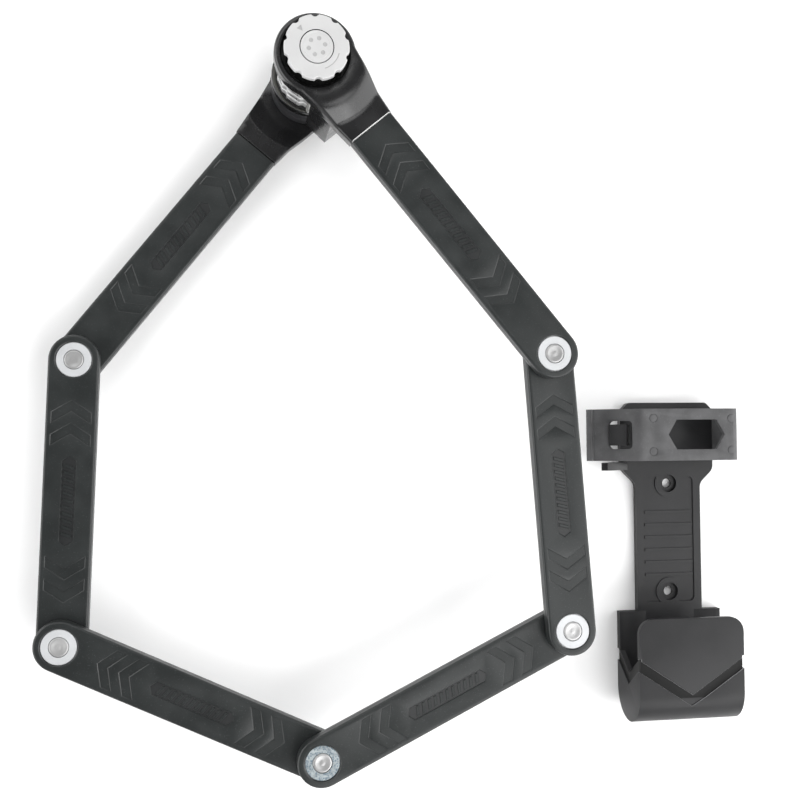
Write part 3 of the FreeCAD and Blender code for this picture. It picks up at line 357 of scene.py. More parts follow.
def material(name, colour, rough, metallic=0.0, grain=0.3, bump=0.15, deep=0.03, tint=0.12, patch=14.0,
             uneven=0.06, coat=0.0, stretch=(1, 1, 1), spots=None, dust=0.0, shine=0.5):
    """A procedural finish. grain and patch are sizes in mm, deep is the bump's height in mm."""
    made = bpy.data.materials.new(name)
    made.use_nodes = True
    tree = made.node_tree
    nodes, links = tree.nodes, tree.links
    shader = nodes["Principled BSDF"]
    shader.inputs["Metallic"].default_value = metallic
    shader.inputs["Specular IOR Level"].default_value = shine
    if coat:
        shader.inputs["Coat Weight"].default_value = coat
        shader.inputs["Coat Roughness"].default_value = 0.2
    place = nodes.new("ShaderNodeTexCoord")
    mapping = nodes.new("ShaderNodeMapping")
    mapping.inputs["Scale"].default_value = stretch
    links.new(place.outputs["Object"], mapping.inputs["Vector"])

    def noise(size, detail):
        node = nodes.new("ShaderNodeTexNoise")
        node.inputs["Scale"].default_value = 1000.0 / size
        node.inputs["Detail"].default_value = detail
        links.new(mapping.outputs["Vector"], node.inputs["Vector"])
        return node.outputs["Fac"]

    def mixed(factor, low, high):
        node = nodes.new("ShaderNodeMix")
        node.data_type = "RGBA"
        node.inputs["A"].default_value = low
        node.inputs["B"].default_value = high
        links.new(factor, node.inputs["Factor"])
        return node

    def mapped(source, from_low, from_high, to_low, to_high):
        node = nodes.new("ShaderNodeMapRange")
        set_range(node, from_low, from_high, to_low, to_high)
        links.new(source, node.inputs["Value"])
        return node.outputs["Result"]

    patches = noise(patch, 4.0)
    grains = noise(grain, 2.0)
    dark = [c * (1 - tint) for c in colour] + [1]
    light = [c * (1 + tint) for c in colour] + [1]
    shade = mixed(mapped(patches, 0.35, 0.65, 0, 1), dark, light)
    result = shade.outputs["Result"]
    if dust:
        flecks = mapped(noise(grain * 2.2, 1.0), 0.66, 0.72, 0, dust)
        fleck = mixed(flecks, light, [min(1, c * 2.6 + 0.03) for c in colour] + [1])
        links.new(result, fleck.inputs["A"])
        result = fleck.outputs["Result"]
    if spots:
        cells = nodes.new("ShaderNodeTexVoronoi")
        cells.inputs["Scale"].default_value = 1000.0 / spots[0]
        links.new(mapping.outputs["Vector"], cells.inputs["Vector"])
        spot = mixed(mapped(cells.outputs["Distance"], 0.2, 0.6, 0, 1), list(spots[1]) + [1], light)
        links.new(result, spot.inputs["B"])
        result = spot.outputs["Result"]
    links.new(result, shader.inputs["Base Color"])
    links.new(mapped(patches, 0.3, 0.7, rough - uneven, rough + uneven), shader.inputs["Roughness"])
    bumps = nodes.new("ShaderNodeBump")
    bumps.inputs["Strength"].default_value = bump
    bumps.inputs["Distance"].default_value = deep * MM
    links.new(grains, bumps.inputs["Height"])
    links.new(bumps.outputs["Normal"], shader.inputs["Normal"])
    return made


COVER = material("cover_plastic", (0.0150, 0.0172, 0.0172), 0.37, grain=0.35, bump=0.35, deep=0.04, tint=0.10,
                 dust=0.3, shine=0.4)
# Darker black for the recessed floor of the hatched panel between its raised bars: painted shade.
PANEL_FLOOR_SHADE = material("cover_panel_painted_shade", (0.009, 0.010, 0.0105), 0.42, grain=0.3, bump=0.3, deep=0.03, tint=0.1)
HOUSING = material("housing_black", (0.010, 0.010, 0.0105), 0.27, grain=0.28, bump=0.35, deep=0.05, tint=0.2,
                   uneven=0.05, coat=0.35, shine=0.35)
SANDY = material("housing_sandy", (0.022, 0.022, 0.024), 0.38, grain=0.32, bump=0.7, deep=0.09, tint=0.25,
                 dust=0.7)
GLOSSY = material("housing_gloss", (0.005, 0.005, 0.005), 0.14, grain=0.5, bump=0.12, deep=0.02, tint=0.2)
# Near-white paint for the housing's end chamfer at the joint with the cover: a painted highlight standing in for
# the line of light the chamfer catches.
HOUSING_END_HIGHLIGHT = material("housing_end_painted_highlight", (0.66, 0.66, 0.65), 0.35, metallic=0.1, grain=0.4, bump=0.3, deep=0.03,
                tint=0.15)
ZINC = material("rivet_zinc", (0.49, 0.50, 0.51), 0.42, metallic=0.15, grain=0.4, bump=0.12, deep=0.02,
                tint=0.05)
STUD = material("rivet_stud", (0.38, 0.38, 0.38), 0.36, metallic=0.5, grain=0.5, bump=0.3, deep=0.04,
                tint=0.12)
GALVANISED = material("rivet_galvanised", (0.30, 0.335, 0.345), 0.42, metallic=0.4, grain=0.4, bump=0.5,
                      deep=0.06, tint=0.2, patch=2.0, spots=(1.1, (0.10, 0.14, 0.18)))
DIAL = material("dial_silver", (0.52, 0.52, 0.52), 0.36, metallic=0.6, grain=0.25, bump=0.2, deep=0.02,
                tint=0.04)
DIGIT = material("digit_black", (0.010, 0.010, 0.010), 0.5, grain=0.2, bump=0.1, deep=0.01)
KNOB = material("knob_silver", (0.50, 0.50, 0.50), 0.40, metallic=0.1, grain=0.22, bump=0.2, deep=0.02,
                tint=0.03)
MARK = material("knob_mark", (0.36, 0.36, 0.36), 0.45, metallic=0.1, grain=0.22, bump=0.2, deep=0.02,
                tint=0.05)
COLLAR = material("collar_black", (0.010, 0.010, 0.010), 0.22, grain=0.6, bump=0.1, deep=0.02, tint=0.2)
LIP = material("lip_silver", (0.60, 0.60, 0.58), 0.36, metallic=0.8, grain=0.7, bump=0.9, deep=0.25,
               tint=0.15)
CHAMFER = material("bezel_grey", (0.30, 0.30, 0.28), 0.4, metallic=0.2, grain=0.3, bump=0.3, deep=0.03)
RUBBER = material("carrier_rubber", (0.020, 0.020, 0.021), 0.46, grain=0.5, bump=0.25, deep=0.03, tint=0.12,
                  patch=20.0, shine=0.22)
BAND = material("boot_band", (0.005, 0.005, 0.005), 0.46, grain=0.5, bump=0.25, deep=0.03, tint=0.12,
                patch=20.0, shine=0.15)
# Light grey paint for the small step faces along the boot band's edges: a painted highlight, lighter lines
# standing in for light caught by the step walls.
BAND_STEP_HIGHLIGHT = material("boot_band_step_painted_highlight", (0.20, 0.20, 0.205), 0.42, grain=0.5, bump=0.25, deep=0.03, tint=0.2,
                patch=6.0)
STRAP = material("strap_rubber", (0.070, 0.070, 0.072), 0.44, grain=0.45, bump=0.3, deep=0.03, tint=0.16,
                 patch=9.0, dust=0.12, shine=0.3)
PLASTIC = material("carrier_plastic", (0.014, 0.014, 0.015), 0.38, grain=0.4, bump=0.5, deep=0.05, tint=0.12,
                   shine=0.35)
BADGE = material("badge_dark", (0.024, 0.024, 0.026), 0.34, grain=0.3, bump=0.4, deep=0.04, tint=0.2,
                 coat=0.3)
BRIGHT = material("badge_bright", (0.50, 0.50, 0.50), 0.35, metallic=0.4, grain=0.3, bump=0.2, deep=0.02)
BAR = material("bar_steel", (0.38, 0.38, 0.39), 0.38, metallic=1.0, grain=0.3, bump=0.3, deep=0.02,
               stretch=(1, 6, 1))
STEEL = material("inner_steel", (0.45, 0.45, 0.46), 0.32, metallic=1.0, grain=0.3, bump=0.2, deep=0.02)
BRASS = material("inner_brass", (0.55, 0.41, 0.18), 0.34, metallic=1.0, grain=0.3, bump=0.2, deep=0.02)

INSIDE = {"bar_steel": BAR, "inner_steel": STEEL, "inner_brass": BRASS, "housing_black": SANDY}
slot_of = {s["node"]: s["material_slot"] for s in frame["record"]["subparts"]}


# ------------------------------------------------------------------ link covers
def chevron(tip, way):
    band, drop, half = CHEVRON_BAND * way, CHEVRON_DROP * way, CHEVRON_HALF
    corners = [
        (tip, 0), (tip + drop, half), (tip + drop + band, half),
        (tip + band, 0), (tip + drop + band, -half), (tip + drop, -half),
    ]
    return corners if way < 0 else corners[::-1]


def panel_outline(middle):
    half, wide, tip = PANEL_HALF_LONG, PANEL_HALF_WIDE, PANEL_TIP
    return [
        (middle - half, 0), (middle - half + tip, -wide), (middle + half - tip, -wide),
        (middle + half, 0), (middle + half - tip, wide), (middle - half + tip, wide),
    ]


def cover(outer):
    """A link's moulded cover: rounded rims, a parting line, chevrons and a hatched panel on both faces."""
    build = Build()
    if outer:
        shape = round_end(HOUSING_END, OUTER_PITCH, HALF_WIDE)
        room = round_end(HOUSING_END + 0.8, OUTER_PITCH, BAR_HALF)
        bores, span = [OUTER_PITCH], OUTER_COVER_SPAN
    else:
        shape = stadium(PITCH, HALF_WIDE)
        room = stadium(PITCH, BAR_HALF)
        bores, span = [0.0, PITCH], COVER_SPAN

    def outline(depth):
        moved = inset(shape, depth)
        if outer:
            flush = HOUSING_END + min(depth, 0.35)
            moved[0], moved[1] = (flush, HALF_WIDE - depth), (flush, -HALF_WIDE + depth)
        return moved

    rim = corner_arc(ROUND, 5)
    half = THICK / 2
    profile = list(reversed(rim))
    profile += [(0, half - 0.22), (0.22, half - 0.08), (0.22, half + 0.08), (0, half + 0.22)]
    profile += [(d, THICK - rise) for d, rise in rim]
    rows = build.loft([build.level(outline(d), z) for d, z in profile])
    for face, way, room_z, edge in ((0.0, 1, BAR_LOW, rows[0]), (THICK, -1, BAR_HIGH, rows[-1])):
        loops, ceiling = [edge], [build.level(room, room_z)]
        for x in bores:
            mouth, throat, deep = (
                build.level(ring(r, 64, (x, 0.0)), z)
                for r, z in ((BORE + 0.45, face), (BORE, face + way * 0.3), (BORE, room_z))
            )
            build.loft([mouth, throat, deep])
            loops.append(mouth)
            ceiling.append(deep)
        recesses = []
        for i in range(2):
            shift = CHEVRON_FIRST + CHEVRON_STEP * i
            recesses += [chevron(span[0] + shift, 1), chevron(span[1] - shift, -1)]
        for recess in recesses:
            edge_loop, lip, floor = (
                build.level(inset(recess, d), face + way * z)
                for d, z in ((-0.15, 0.0), (0.02, 0.06), (0.42, RELIEF_DEEP))
            )
            build.loft([edge_loop, lip, floor])
            build.fill([floor])
            loops.append(edge_loop)
        middle = (span[0] + span[1]) / 2
        panel = panel_outline(middle)
        edge_loop, lip, floor = (
            build.level(inset(panel, d), face + way * z)
            for d, z in ((-0.15, 0.0), (0.02, 0.06), (0.35, RELIEF_DEEP))
        )
        build.loft([edge_loop, lip, floor])
        loops.append(edge_loop)
        floor_loops = [floor]
        first_bar = middle - (PANEL_BARS - 1) / 2 * PANEL_BAR_STEP
        for k in range(PANEL_BARS):
            x = first_bar + k * PANEL_BAR_STEP
            slant, broad, tall = 0.9, 0.95, 2.75
            bar = [(x - broad - slant, -tall), (x + broad - slant, -tall), (x + broad + slant, tall),
                   (x - broad + slant, tall)]
            foot = build.level(bar, face + way * RELIEF_DEEP)
            crest = build.level(inset(bar, 0.3), face + way * 0.08)
            build.bridge(foot, crest)
            build.fill([crest])
            floor_loops.append(foot)
        # The floor between the bars gets material 1, darker as painted shade.
        build.fill(floor_loops, 1)
        build.fill(loops)
        build.fill(ceiling)
        if way == 1:
            low_room = ceiling[0]
        else:
            build.bridge(low_room, ceiling[0])
    return solid(build)


def joint_parts():
    """A rivet with spun ends, and its two washers and spacer."""
    top = LINK_RISE + THICK
    under, over = BAR_LOW - 0.05, LINK_RISE + BAR_HIGH
    end = [(0, 0.42), (0.5, 0.30), (0.95, 0.44), (1.6, 0.50), (2.6, 0.40), (3.5, 0.16), (4.1, 0.04),
           (4.6, 0.10), (4.95, 0.32), (5.1, 0.62)]
    profile = end + [(5.1, under), (4.5, under), (4.5, over), (5.1, over)]
    profile += [(r, top - z) for r, z in reversed(end)]
    rivet = Build()
    rivet.turned(profile, 56)
    washers = Build()
    for low, high in ((0.15, under), (over, top - 0.15)):
        washers.turned([
            (5.3, low + 0.12), (5.42, low), (8.9, low), (9.2, low + 0.3), (9.2, high - 0.3), (8.9, high),
            (5.42, high), (5.3, high - 0.12),
        ], 72, closed=True)
    low, high = BAR_HIGH + 0.05, LINK_RISE + BAR_LOW
    washers.turned([(4.55, low), (8.8, low), (8.8, high), (4.55, high)], 72, closed=True)
    return solid(rivet), solid(washers)


body_of_link = {1: "head", 2: "link_2", 3: "link_3", 4: "link_4", 5: "link_5", 6: "link_6"}
link_starts = {1: HEAD, 2: RIVETS[0], 3: RIVETS[1], 4: RIVETS[2], 5: RIVETS[3], 6: HEAD}
for link in range(1, 7):
    place = lying(link_starts[link], LINK_ANGLES[link - 1], link_low(link))
    placed(cover(link in (1, 6)), f"link_{link}_shell", place, body_of_link[link], [COVER, PANEL_FLOOR_SHADE],
           [f"link_{link}_cover"])
for number, point in enumerate(RIVETS, start=1):
    place = lying(point, 30 * number, link_low(number + 1))
    pin, rings = joint_parts()
    body = body_of_link[number]
    placed(pin, f"rivet_{number}_spun", place, body, [STUD], [f"rivet_{number}"])
    finish = GALVANISED if number == 3 else ZINC
    placed(rings, f"rivet_{number}_rings", place, body, [finish], [f"rivet_washers_{number}"])


# ------------------------------------------------------------------ housings
def ramp(r, soft_top, soft_foot):
    """How far the neck has stepped in at a distance r from the head's axis."""
    slope = NECK_STEP / (NECK_END - NECK_START)
    if r < NECK_START - soft_top:
        return 0.0
    if r < NECK_START + soft_top:
        return slope * (r - NECK_START + soft_top) ** 2 / (4 * soft_top)
    if r < NECK_END - soft_foot:
        return slope * (r - NECK_START)
    if r < NECK_END + soft_foot:
        return NECK_STEP - slope * (NECK_END + soft_foot - r) ** 2 / (4 * soft_foot)
    return NECK_STEP


def housing_outline():
    half = 18.7
    shoulder = math.sqrt(FLANGE**2 - half**2)
    turn = math.degrees(math.atan2(half, shoulder))
    around = [(x, y, 0) for x, y in arc(FLANGE, turn, 360 - turn, 60)]
    around[0] = (*around[0][:2], 4.0)
    around[-1] = (*around[-1][:2], 4.0)
    neck = [(34.0, -NECK_HALF, 20.0), (HOUSING_END, -NECK_END_HALF, 0), (HOUSING_END, NECK_END_HALF, 0),
            (34.0, NECK_HALF, 20.0)]
    return densified(softened(around + neck, 3), 1.1)


def housing(front):
    """A cast end: round flange, stepped neck, rounded rim; z = 0 is its outer face."""
    build = Build()
    shape = housing_outline()
    at_end = [abs(x - HOUSING_END) < 1e-6 for x, _ in shape]

    def outline(depth, rise=1.0):
        reach = HOUSING_END - max(0.0, EDGE_CHAMFER - rise)
        moved = inset(shape, depth)
        return [
            (reach, max(depth - NECK_END_HALF, min(NECK_END_HALF - depth, y))) if end else (min(x, reach), y)
            for (x, y), end in zip(moved, at_end)
        ]

    def outer_z(x, y):
        away = math.hypot(x, y)
        bead = 0.16 * max(0.0, 1 - abs(away - NECK_END - 0.1) / 0.55)
        return ramp(away, 3.2, 0.5) - bead

    def inner_z(x, y):
        return FLANGE_THICK + ramp(math.hypot(x, y), 0.8, 0.8)

    rim = corner_arc(1.9, 6)
    rows = []
    for depth, rise in reversed(rim):
        rows.append(build.add([(x, y, outer_z(x, y) + rise) for x, y in outline(depth, rise)]))
    for depth, fall in corner_arc(0.5, 2):
        rows.append(build.add([(x, y, inner_z(x, y) - fall) for x, y in outline(depth, fall)]))
    build.loft(rows)

    def inner_points(height, depth):
        edge = outline(depth)
        points = []
        for r in (24, 25.2, 26.4, 27.6, 28.8, 30.2, 32, 34, 36, 37, 37.5, 38, 38.6, 41):
            for degrees in range(-57, 58, 3):
                x, y = r * math.cos(math.radians(degrees)), r * math.sin(math.radians(degrees))
                if within((x, y), edge) and x < HOUSING_END - 1.5:
                    points.append((x, y, height(x, y)))
        return build.add(points)

    outer_loops, inner_loops = [rows[0]], [rows[-1]]
    if front:
        steps = ((18.35, 0.0), (18.1, 0.12), (17.75, 0.55), (RECESS, 0.8), (RECESS, 2.8), (17.4, RECESS_DEEP),
                 (7.0, RECESS_DEEP), (7.0, FLANGE_THICK))
        well = [build.level(ring(r, 96), z) for r, z in steps]
        build.loft(well[:6], 1)
        build.loft(well[5:], 1)
        outer_loops.append(well[0])
        inner_loops.append(well[-1])
    else:
        steps = ((8.9, FLANGE_THICK), (8.5, FLANGE_THICK - 0.4), (8.5, 2.0))
        well = [build.level(ring(r, 72), z) for r, z in steps]
        build.loft(well)
        build.fill([well[-1]])
        inner_loops.append(well[0])
    build.fill(outer_loops, 0, inner=inner_points(outer_z, 2.4))
    build.fill(inner_loops, 0, inner=inner_points(inner_z, 1.0))
    casting = solid(build)
    # Faces of the end chamfer get material 2, the near-white painted highlight.
    for polygon in casting.data.polygons:
        at = polygon.center
        if at.x > HOUSING_END - EDGE_CHAMFER - 0.02 and at.z < NECK_STEP + 0.8 and polygon.normal.x > 0.2:
            polygon.material_index = 2
    return casting


placed(housing(True), "front_casting", FRONT_FRAME, "head", [HOUSING, GLOSSY, HOUSING_END_HIGHLIGHT],
       ["front_housing"])
placed(housing(False), "rear_casting", REAR_FRAME, "link_6", [HOUSING, GLOSSY, HOUSING_END_HIGHLIGHT],
       ["rear_housing"])


# ------------------------------------------------------------------ lock body
def capsule(half, radius):
    """The upright (x, z) outline of the plate in the block's front face."""
    upper, lower = (PLATE_X, PLATE_Z + half), (PLATE_X, PLATE_Z - half)
    return arc(radius, 0, 180, 14, upper) + arc(radius, 180, 360, 14, lower)


def lock_body():
    barrel = Build()
    barrel.turned([
        (5.2, 11.4), (17.05, 11.4), (17.05, 8.9), (BARREL - 0.4, 8.9), (BARREL, 9.3), (BARREL, 15.9),
        (BARREL - 0.3, 16.05), (BARREL - 0.3, 16.3), (BARREL, 16.45), (BARREL, 24.7), (BARREL - 0.25, 24.8),
        (BARREL - 0.25, 25.0), (BARREL, 25.1), (BARREL, 25.6), (18.6, 25.6), (18.6, 30.6), (8.4, 30.6),
        (8.4, 24.2), (5.2, 24.2),
    ], 128, closed=True)
    block = Build()
    top = HEAD_LONG - FLANGE_THICK - 0.02
    block.prism([(8, 9.1), (14.5, 9.1), (31, 17), (31, 53.8), (26.4, 56.6), (26.4, top), (8, top)],
                -BLOCK_HALF, BLOCK_HALF, "Y")
    body = solid(block)
    room = Build()
    room.turned([(0, 30.6), (18.95, 30.6), (18.95, 70), (0, 70)], 128)
    combined(body, solid(room))
    seat = Build()
    seat.turned([(0, 25.6), (21.05, 25.6), (21.05, 30.7), (0, 30.7)], 128)
    combined(body, solid(seat))
    inner = Build()
    inner.turned([(0, 5), (18.0, 5), (18.0, 26), (0, 26)], 96)
    combined(body, solid(inner))
    raised = Build()
    raised.prism([(17.4, 12.6), (29.4, 18.3), (29.4, 53.2), (25.4, 55.8), (17.4, 56.4)], 13.5, 14.3, "Y")
    combined(body, solid(raised), "UNION")
    plate = Build()
    plate.prism(capsule(10.0, 3.95), 13.2, 15, "Y")
    combined(body, solid(plate))
    bevelled(body, 0.35, 2)
    round_part = solid(barrel)
    merged = bmesh.new()
    merged.from_mesh(body.data)
    merged.from_mesh(round_part.data)
    merged.to_mesh(body.data)
    merged.free()
    bpy.data.objects.remove(round_part)
    for polygon in body.data.polygons:
        at = polygon.center
        flat_front = polygon.normal.y > 0.9 and at.y > 14.2
        on_barrel = math.hypot(at.x, at.y) > BARREL - 0.3 and at.z < 25
        polygon.material_index = 1 if flat_front or on_barrel else 0
    return body


placed(lock_body(), "lock_casting", HEAD_FRAME, "head", [HOUSING, SANDY], ["lock_body"], 20)

bezel = Build()
bezel_rows = bezel.turned([
    (18.6, 25.62), (20.9, 25.62), (21.0, 25.8), (21.0, 29.9), (20.85, 30.4), (20.5, 30.6),
], 128)
bezel_inside = [bezel.level(ring(r, 128), z) for r, z in ((20.3, 30.55), (18.95, 28.7), (18.6, 28.4))]
bezel.bridge(bezel_rows[-1], bezel_inside[0])
bezel.loft(bezel_inside, 1)
bezel.bridge(bezel_inside[-1], bezel_rows[0])
placed(solid(bezel), "dial_ring_bezel", HEAD_FRAME, "head", [GLOSSY, CHAMFER],
       ["dial_bezel"])

plate = Build()
outer_rim = capsule(10.0, 3.7)
rows = []
for depth, y in ((0, 13.25), (0, 13.95), (0.15, 14.1), (0.55, 14.1), (0.7, 13.9)):
    rows.append(plate.add([(x, y, z) for x, z in inset(outer_rim, depth)]))
plate.loft(rows[:2], 0)
plate.loft(rows[1:], 1)
plate.face(rows[0])
strips = []
for k in range(5):
    low_z = PLATE_Z - 8.1 + k * 3.6
    strips.append([(22.6, low_z), (26.0, low_z), (26.0, low_z + 1.8), (22.6, low_z + 1.8)])
floor_loops = [rows[-1]]
for outline in strips:
    foot = plate.add([(x, 13.9, z) for x, z in outline])
    crest = plate.add([(x, 14.08, z) for x, z in inset(outline, 0.12)])
    plate.bridge(foot, crest, 1)
    plate.face(crest, 1)
    floor_loops.append(foot)
plate.fill(floor_loops, 0, axes=(0, 2))
placed(solid(plate), "name_plate", HEAD_FRAME, "head", [BADGE, BRIGHT], ["label_plate"])

lips = Build()
for side in (-1, 1):
    section = [(12.95, 13.4), (15.3, 13.4), (15.3, 14.1), (14.9, 14.4), (13.05, 14.15)]
    rows = []
    for k in range(55):
        z = 31.5 + 27.0 * k / 54
        wobble = 0.04 * math.sin(k * 1.3) + 0.03 * math.sin(k * 2.9 + 1)
        rows.append(lips.add([
            (x, side * (y + (wobble - 0.1 if y > 14 else 0)), z) for x, y in section
        ]))
    lips.loft(rows)
    lips.face(rows[0])
    lips.face(rows[-1])
placed(solid(lips), "dial_lips", HEAD_FRAME, "head", [LIP], ["index_strips"], sharp=20)


# ------------------------------------------------------------------ dials
def dial_outline(depth):
    """Ten flats with a finger hollow between each two, rounder towards the edges."""
    points = []
    for facet in range(10):
        for off in (-18, -16.2, -14, -12.2, -11, -6, 0, 6, 11, 12.2, 14, 16.2):
            if abs(off) <= 11:
                r = DIAL_FLAT / math.cos(math.radians(off))
            else:
                share = (abs(off) - 11) / 7
                r = 18.44 - DIAL_HOLLOW * (share * share * (3 - 2 * share)) ** 0.8
            t = math.radians(facet * 36 + off)
            r -= (r - DIAL_EDGE) * depth / DIAL_RIM
            points.append((r * math.cos(t), r * math.sin(t)))
    return points


def dial():
    build = Build()
    rim = [(DIAL_RIM, 0.0), (0.75, 0.12), (0.35, 0.42), (0.1, 0.85), (0.0, 1.3)]
    profile = rim + [(d, DIAL_THICK - z) for d, z in reversed(rim)]
    rows = build.loft([build.level(dial_outline(d), z) for d, z in profile])
    bores = [build.level(ring(DIAL_BORE, 60), z) for z in (0.0, DIAL_THICK)]
    build.bridge(*bores)
    build.fill([rows[0], bores[0]])
    build.fill([rows[-1], bores[1]])
    return solid(build)


DOWN = Vector((0, 0, -1))
DIAL_MIDDLE = Vector((0, 0, DIAL_THICK / 2))


def digits():
    """The ten black figures of a dial, upright when the knob is on the left."""
    build = Build()
    for figure in range(10):
        curve = bpy.data.curves.new("figure", "FONT")
        curve.body = str(figure)
        curve.size = FIGURE_SIZE
        curve.extrude = 0.05
        curve.offset = -0.05
        curve.align_x, curve.align_y = "CENTER", "CENTER"
        text = bpy.data.objects.new("figure", curve)
        bpy.context.scene.collection.objects.link(text)
        bpy.context.view_layer.update()
        mesh = bpy.data.meshes.new_from_object(text.evaluated_get(bpy.context.evaluated_depsgraph_get()))
        t = math.radians(180 - 36 * figure)
        out, up = Vector((math.cos(t), math.sin(t), 0)), Vector((-math.sin(t), math.cos(t), 0))
        heights = [v.co.y for v in mesh.vertices]
        middle = (min(heights) + max(heights)) / 2
        ids = build.add([
            out * (FIGURE_FOOT + v.co.z) + up * (v.co.y - middle) + DOWN * v.co.x * FIGURE_NARROW + DIAL_MIDDLE
            for v in mesh.vertices
        ])
        for polygon in mesh.polygons:
            build.face([ids[v] for v in polygon.vertices])
        bpy.data.objects.remove(text)
    return solid(build)


for number in range(1, 5):
    place = lying(HEAD, LINK_ANGLES[0], DIAL_LOW + (4 - number) * DIAL_PITCH)
    placed(dial(), f"number_ring_{number}", place, f"dial_{number}_ring", [DIAL],
           [f"dial_{number}"], 40)
    placed(digits(), f"figures_{number}", place, f"dial_{number}_ring", [DIGIT])


# ------------------------------------------------------------------ knob
def knob_outline():
    """Ten finger notches in a disc, with the corners between rounded."""
    notch_out, notch, soft = KNOB_NOTCH_AT, KNOB_NOTCH, KNOB_SOFT
    away = KNOB_RADIUS - soft
    lean = math.degrees(math.acos((away**2 + notch_out**2 - (notch + soft) ** 2) / (2 * away * notch_out)))
    step = 360 / KNOB_NOTCHES
    points = []
    for k in range(KNOB_NOTCHES):
        at = step * k
        middle = Vector((notch_out, 0)) @ Matrix.Rotation(math.radians(-at), 2)
        for side in (-1, 1):
            turn = math.radians(at + side * lean)
            corner = Vector((away * math.cos(turn), away * math.sin(turn)))
            toward = middle - corner
            inward = math.degrees(math.atan2(toward.y, toward.x))
            outward = at + side * lean
            swing = (inward - outward + 180) % 360 - 180
            round_arc = arc(soft, outward, outward + swing, 5, corner)
            back = -toward
            if side < 0:
                points += round_arc
                first = math.degrees(math.atan2(back.y, back.x))
            else:
                last = math.degrees(math.atan2(back.y, back.x))
                sweep = (last - first + 180) % 360 - 180
                points += arc(notch, first, first + sweep, 10, middle)[1:-1]
                points += round_arc[::-1]
        points += arc(KNOB_RADIUS, at + lean, at + step - lean, 8)[1:-1]
    return points


def knob():
    build = Build()
    shape = knob_outline()
    rim = corner_arc(0.6, 5)
    profile = [(d, r) for d, r in reversed(rim)] + [(d, KNOB_THICK - r) for d, r in rim]
    rows = build.loft([build.level(inset(shape, d), z) for d, z in profile])
    seat = [
        build.level(ring(r, 72), z) for r, z in
        ((8.85, KNOB_THICK), (8.7, KNOB_THICK - 0.15), (8.7, 2.8), (1.7, 2.8), (1.7, 0.0))
    ]
    build.loft(seat, 2)
    marks = []
    arrow = [(10.4, 0.0), (13.4, -1.5), (13.4, 1.5)]
    sweep = arc(11.9, 0, 55, 16) + arc(11.55, 55, 0, 16)
    for outline, turn in ((arrow, 40.0), (sweep, -163.0)):
        spin = Matrix.Rotation(math.radians(turn), 2)
        spun = [tuple(spin @ Vector(p)) for p in outline]
        rim_loop = build.level(spun, KNOB_THICK)
        floor = build.level(inset(spun, 0.08), KNOB_THICK - 0.18)
        build.bridge(rim_loop, floor, 1)
        build.fill([floor], 1)
        marks.append(rim_loop)
    build.fill([rows[-1], seat[0]] + marks)
    build.fill([rows[0], seat[-1]])
    return solid(build)


def knob_cap():
    build = Build()
    side = [(0, 0.1), (8.35, 0.1), (8.4, 0.2), (8.4, 1.1), (8.25, 1.38), (7.9, 1.5), (7.2, 1.5)]
    rows = build.turned(side, 72)
    dip = [build.level(ring(r, 72), z) for r, z in ((7.2, 1.5), (7.05, 1.38), (6.85, 1.38), (6.7, 1.5))]
    build.bridge(rows[-1], dip[0])
    build.loft(dip)
    loops = [dip[-1]]
    for k in range(6):
        at = math.radians(60 * k + 15)
        centre = (4.3 * math.cos(at), 4.3 * math.sin(at))
        mouth, floor = build.level(ring(1.15, 24, centre), 1.5), build.level(ring(0.95, 24, centre), 1.32)
        build.bridge(mouth, floor, 1)
        build.fill([floor], 1)
        loops.append(mouth)
    build.fill(loops)
    return solid(build)


knob_place = lying(HEAD, 93.0, KNOB_LOW)
placed(knob(), "turning_knob", knob_place, "knob_turner", [KNOB, MARK, GLOSSY], ["knob"])
placed(knob_cap(), "turning_cap", lying(HEAD, 0, KNOB_LOW + KNOB_THICK - 1.2), "knob_turner", [KNOB, MARK],
       ["knob_cap"])
collar = Build()
collar.turned([
    (5.0, 64.9), (13.9, 64.9), (14.2, 65.2), (14.2, 68.6), (13.95, 68.8), (13.95, 69.1), (14.2, 69.3),
    (14.2, KNOB_LOW - 0.3), (13.9, KNOB_LOW), (5.0, KNOB_LOW),
], 96, closed=True)
placed(solid(collar), "knob_sleeve", lying(HEAD, 0), "knob_turner", [COLLAR], ["knob_collar"])


# ------------------------------------------------------------------ carrier
def boot_side(top, low, high):
    """(y, z) outline of the boot seen from its side."""
    middle, radius = (low + high) / 2, (high - low) / 2
    return arc(radius, 90, 270, END_STEPS, (0.0, middle)) + [(top, low), (top, high)]


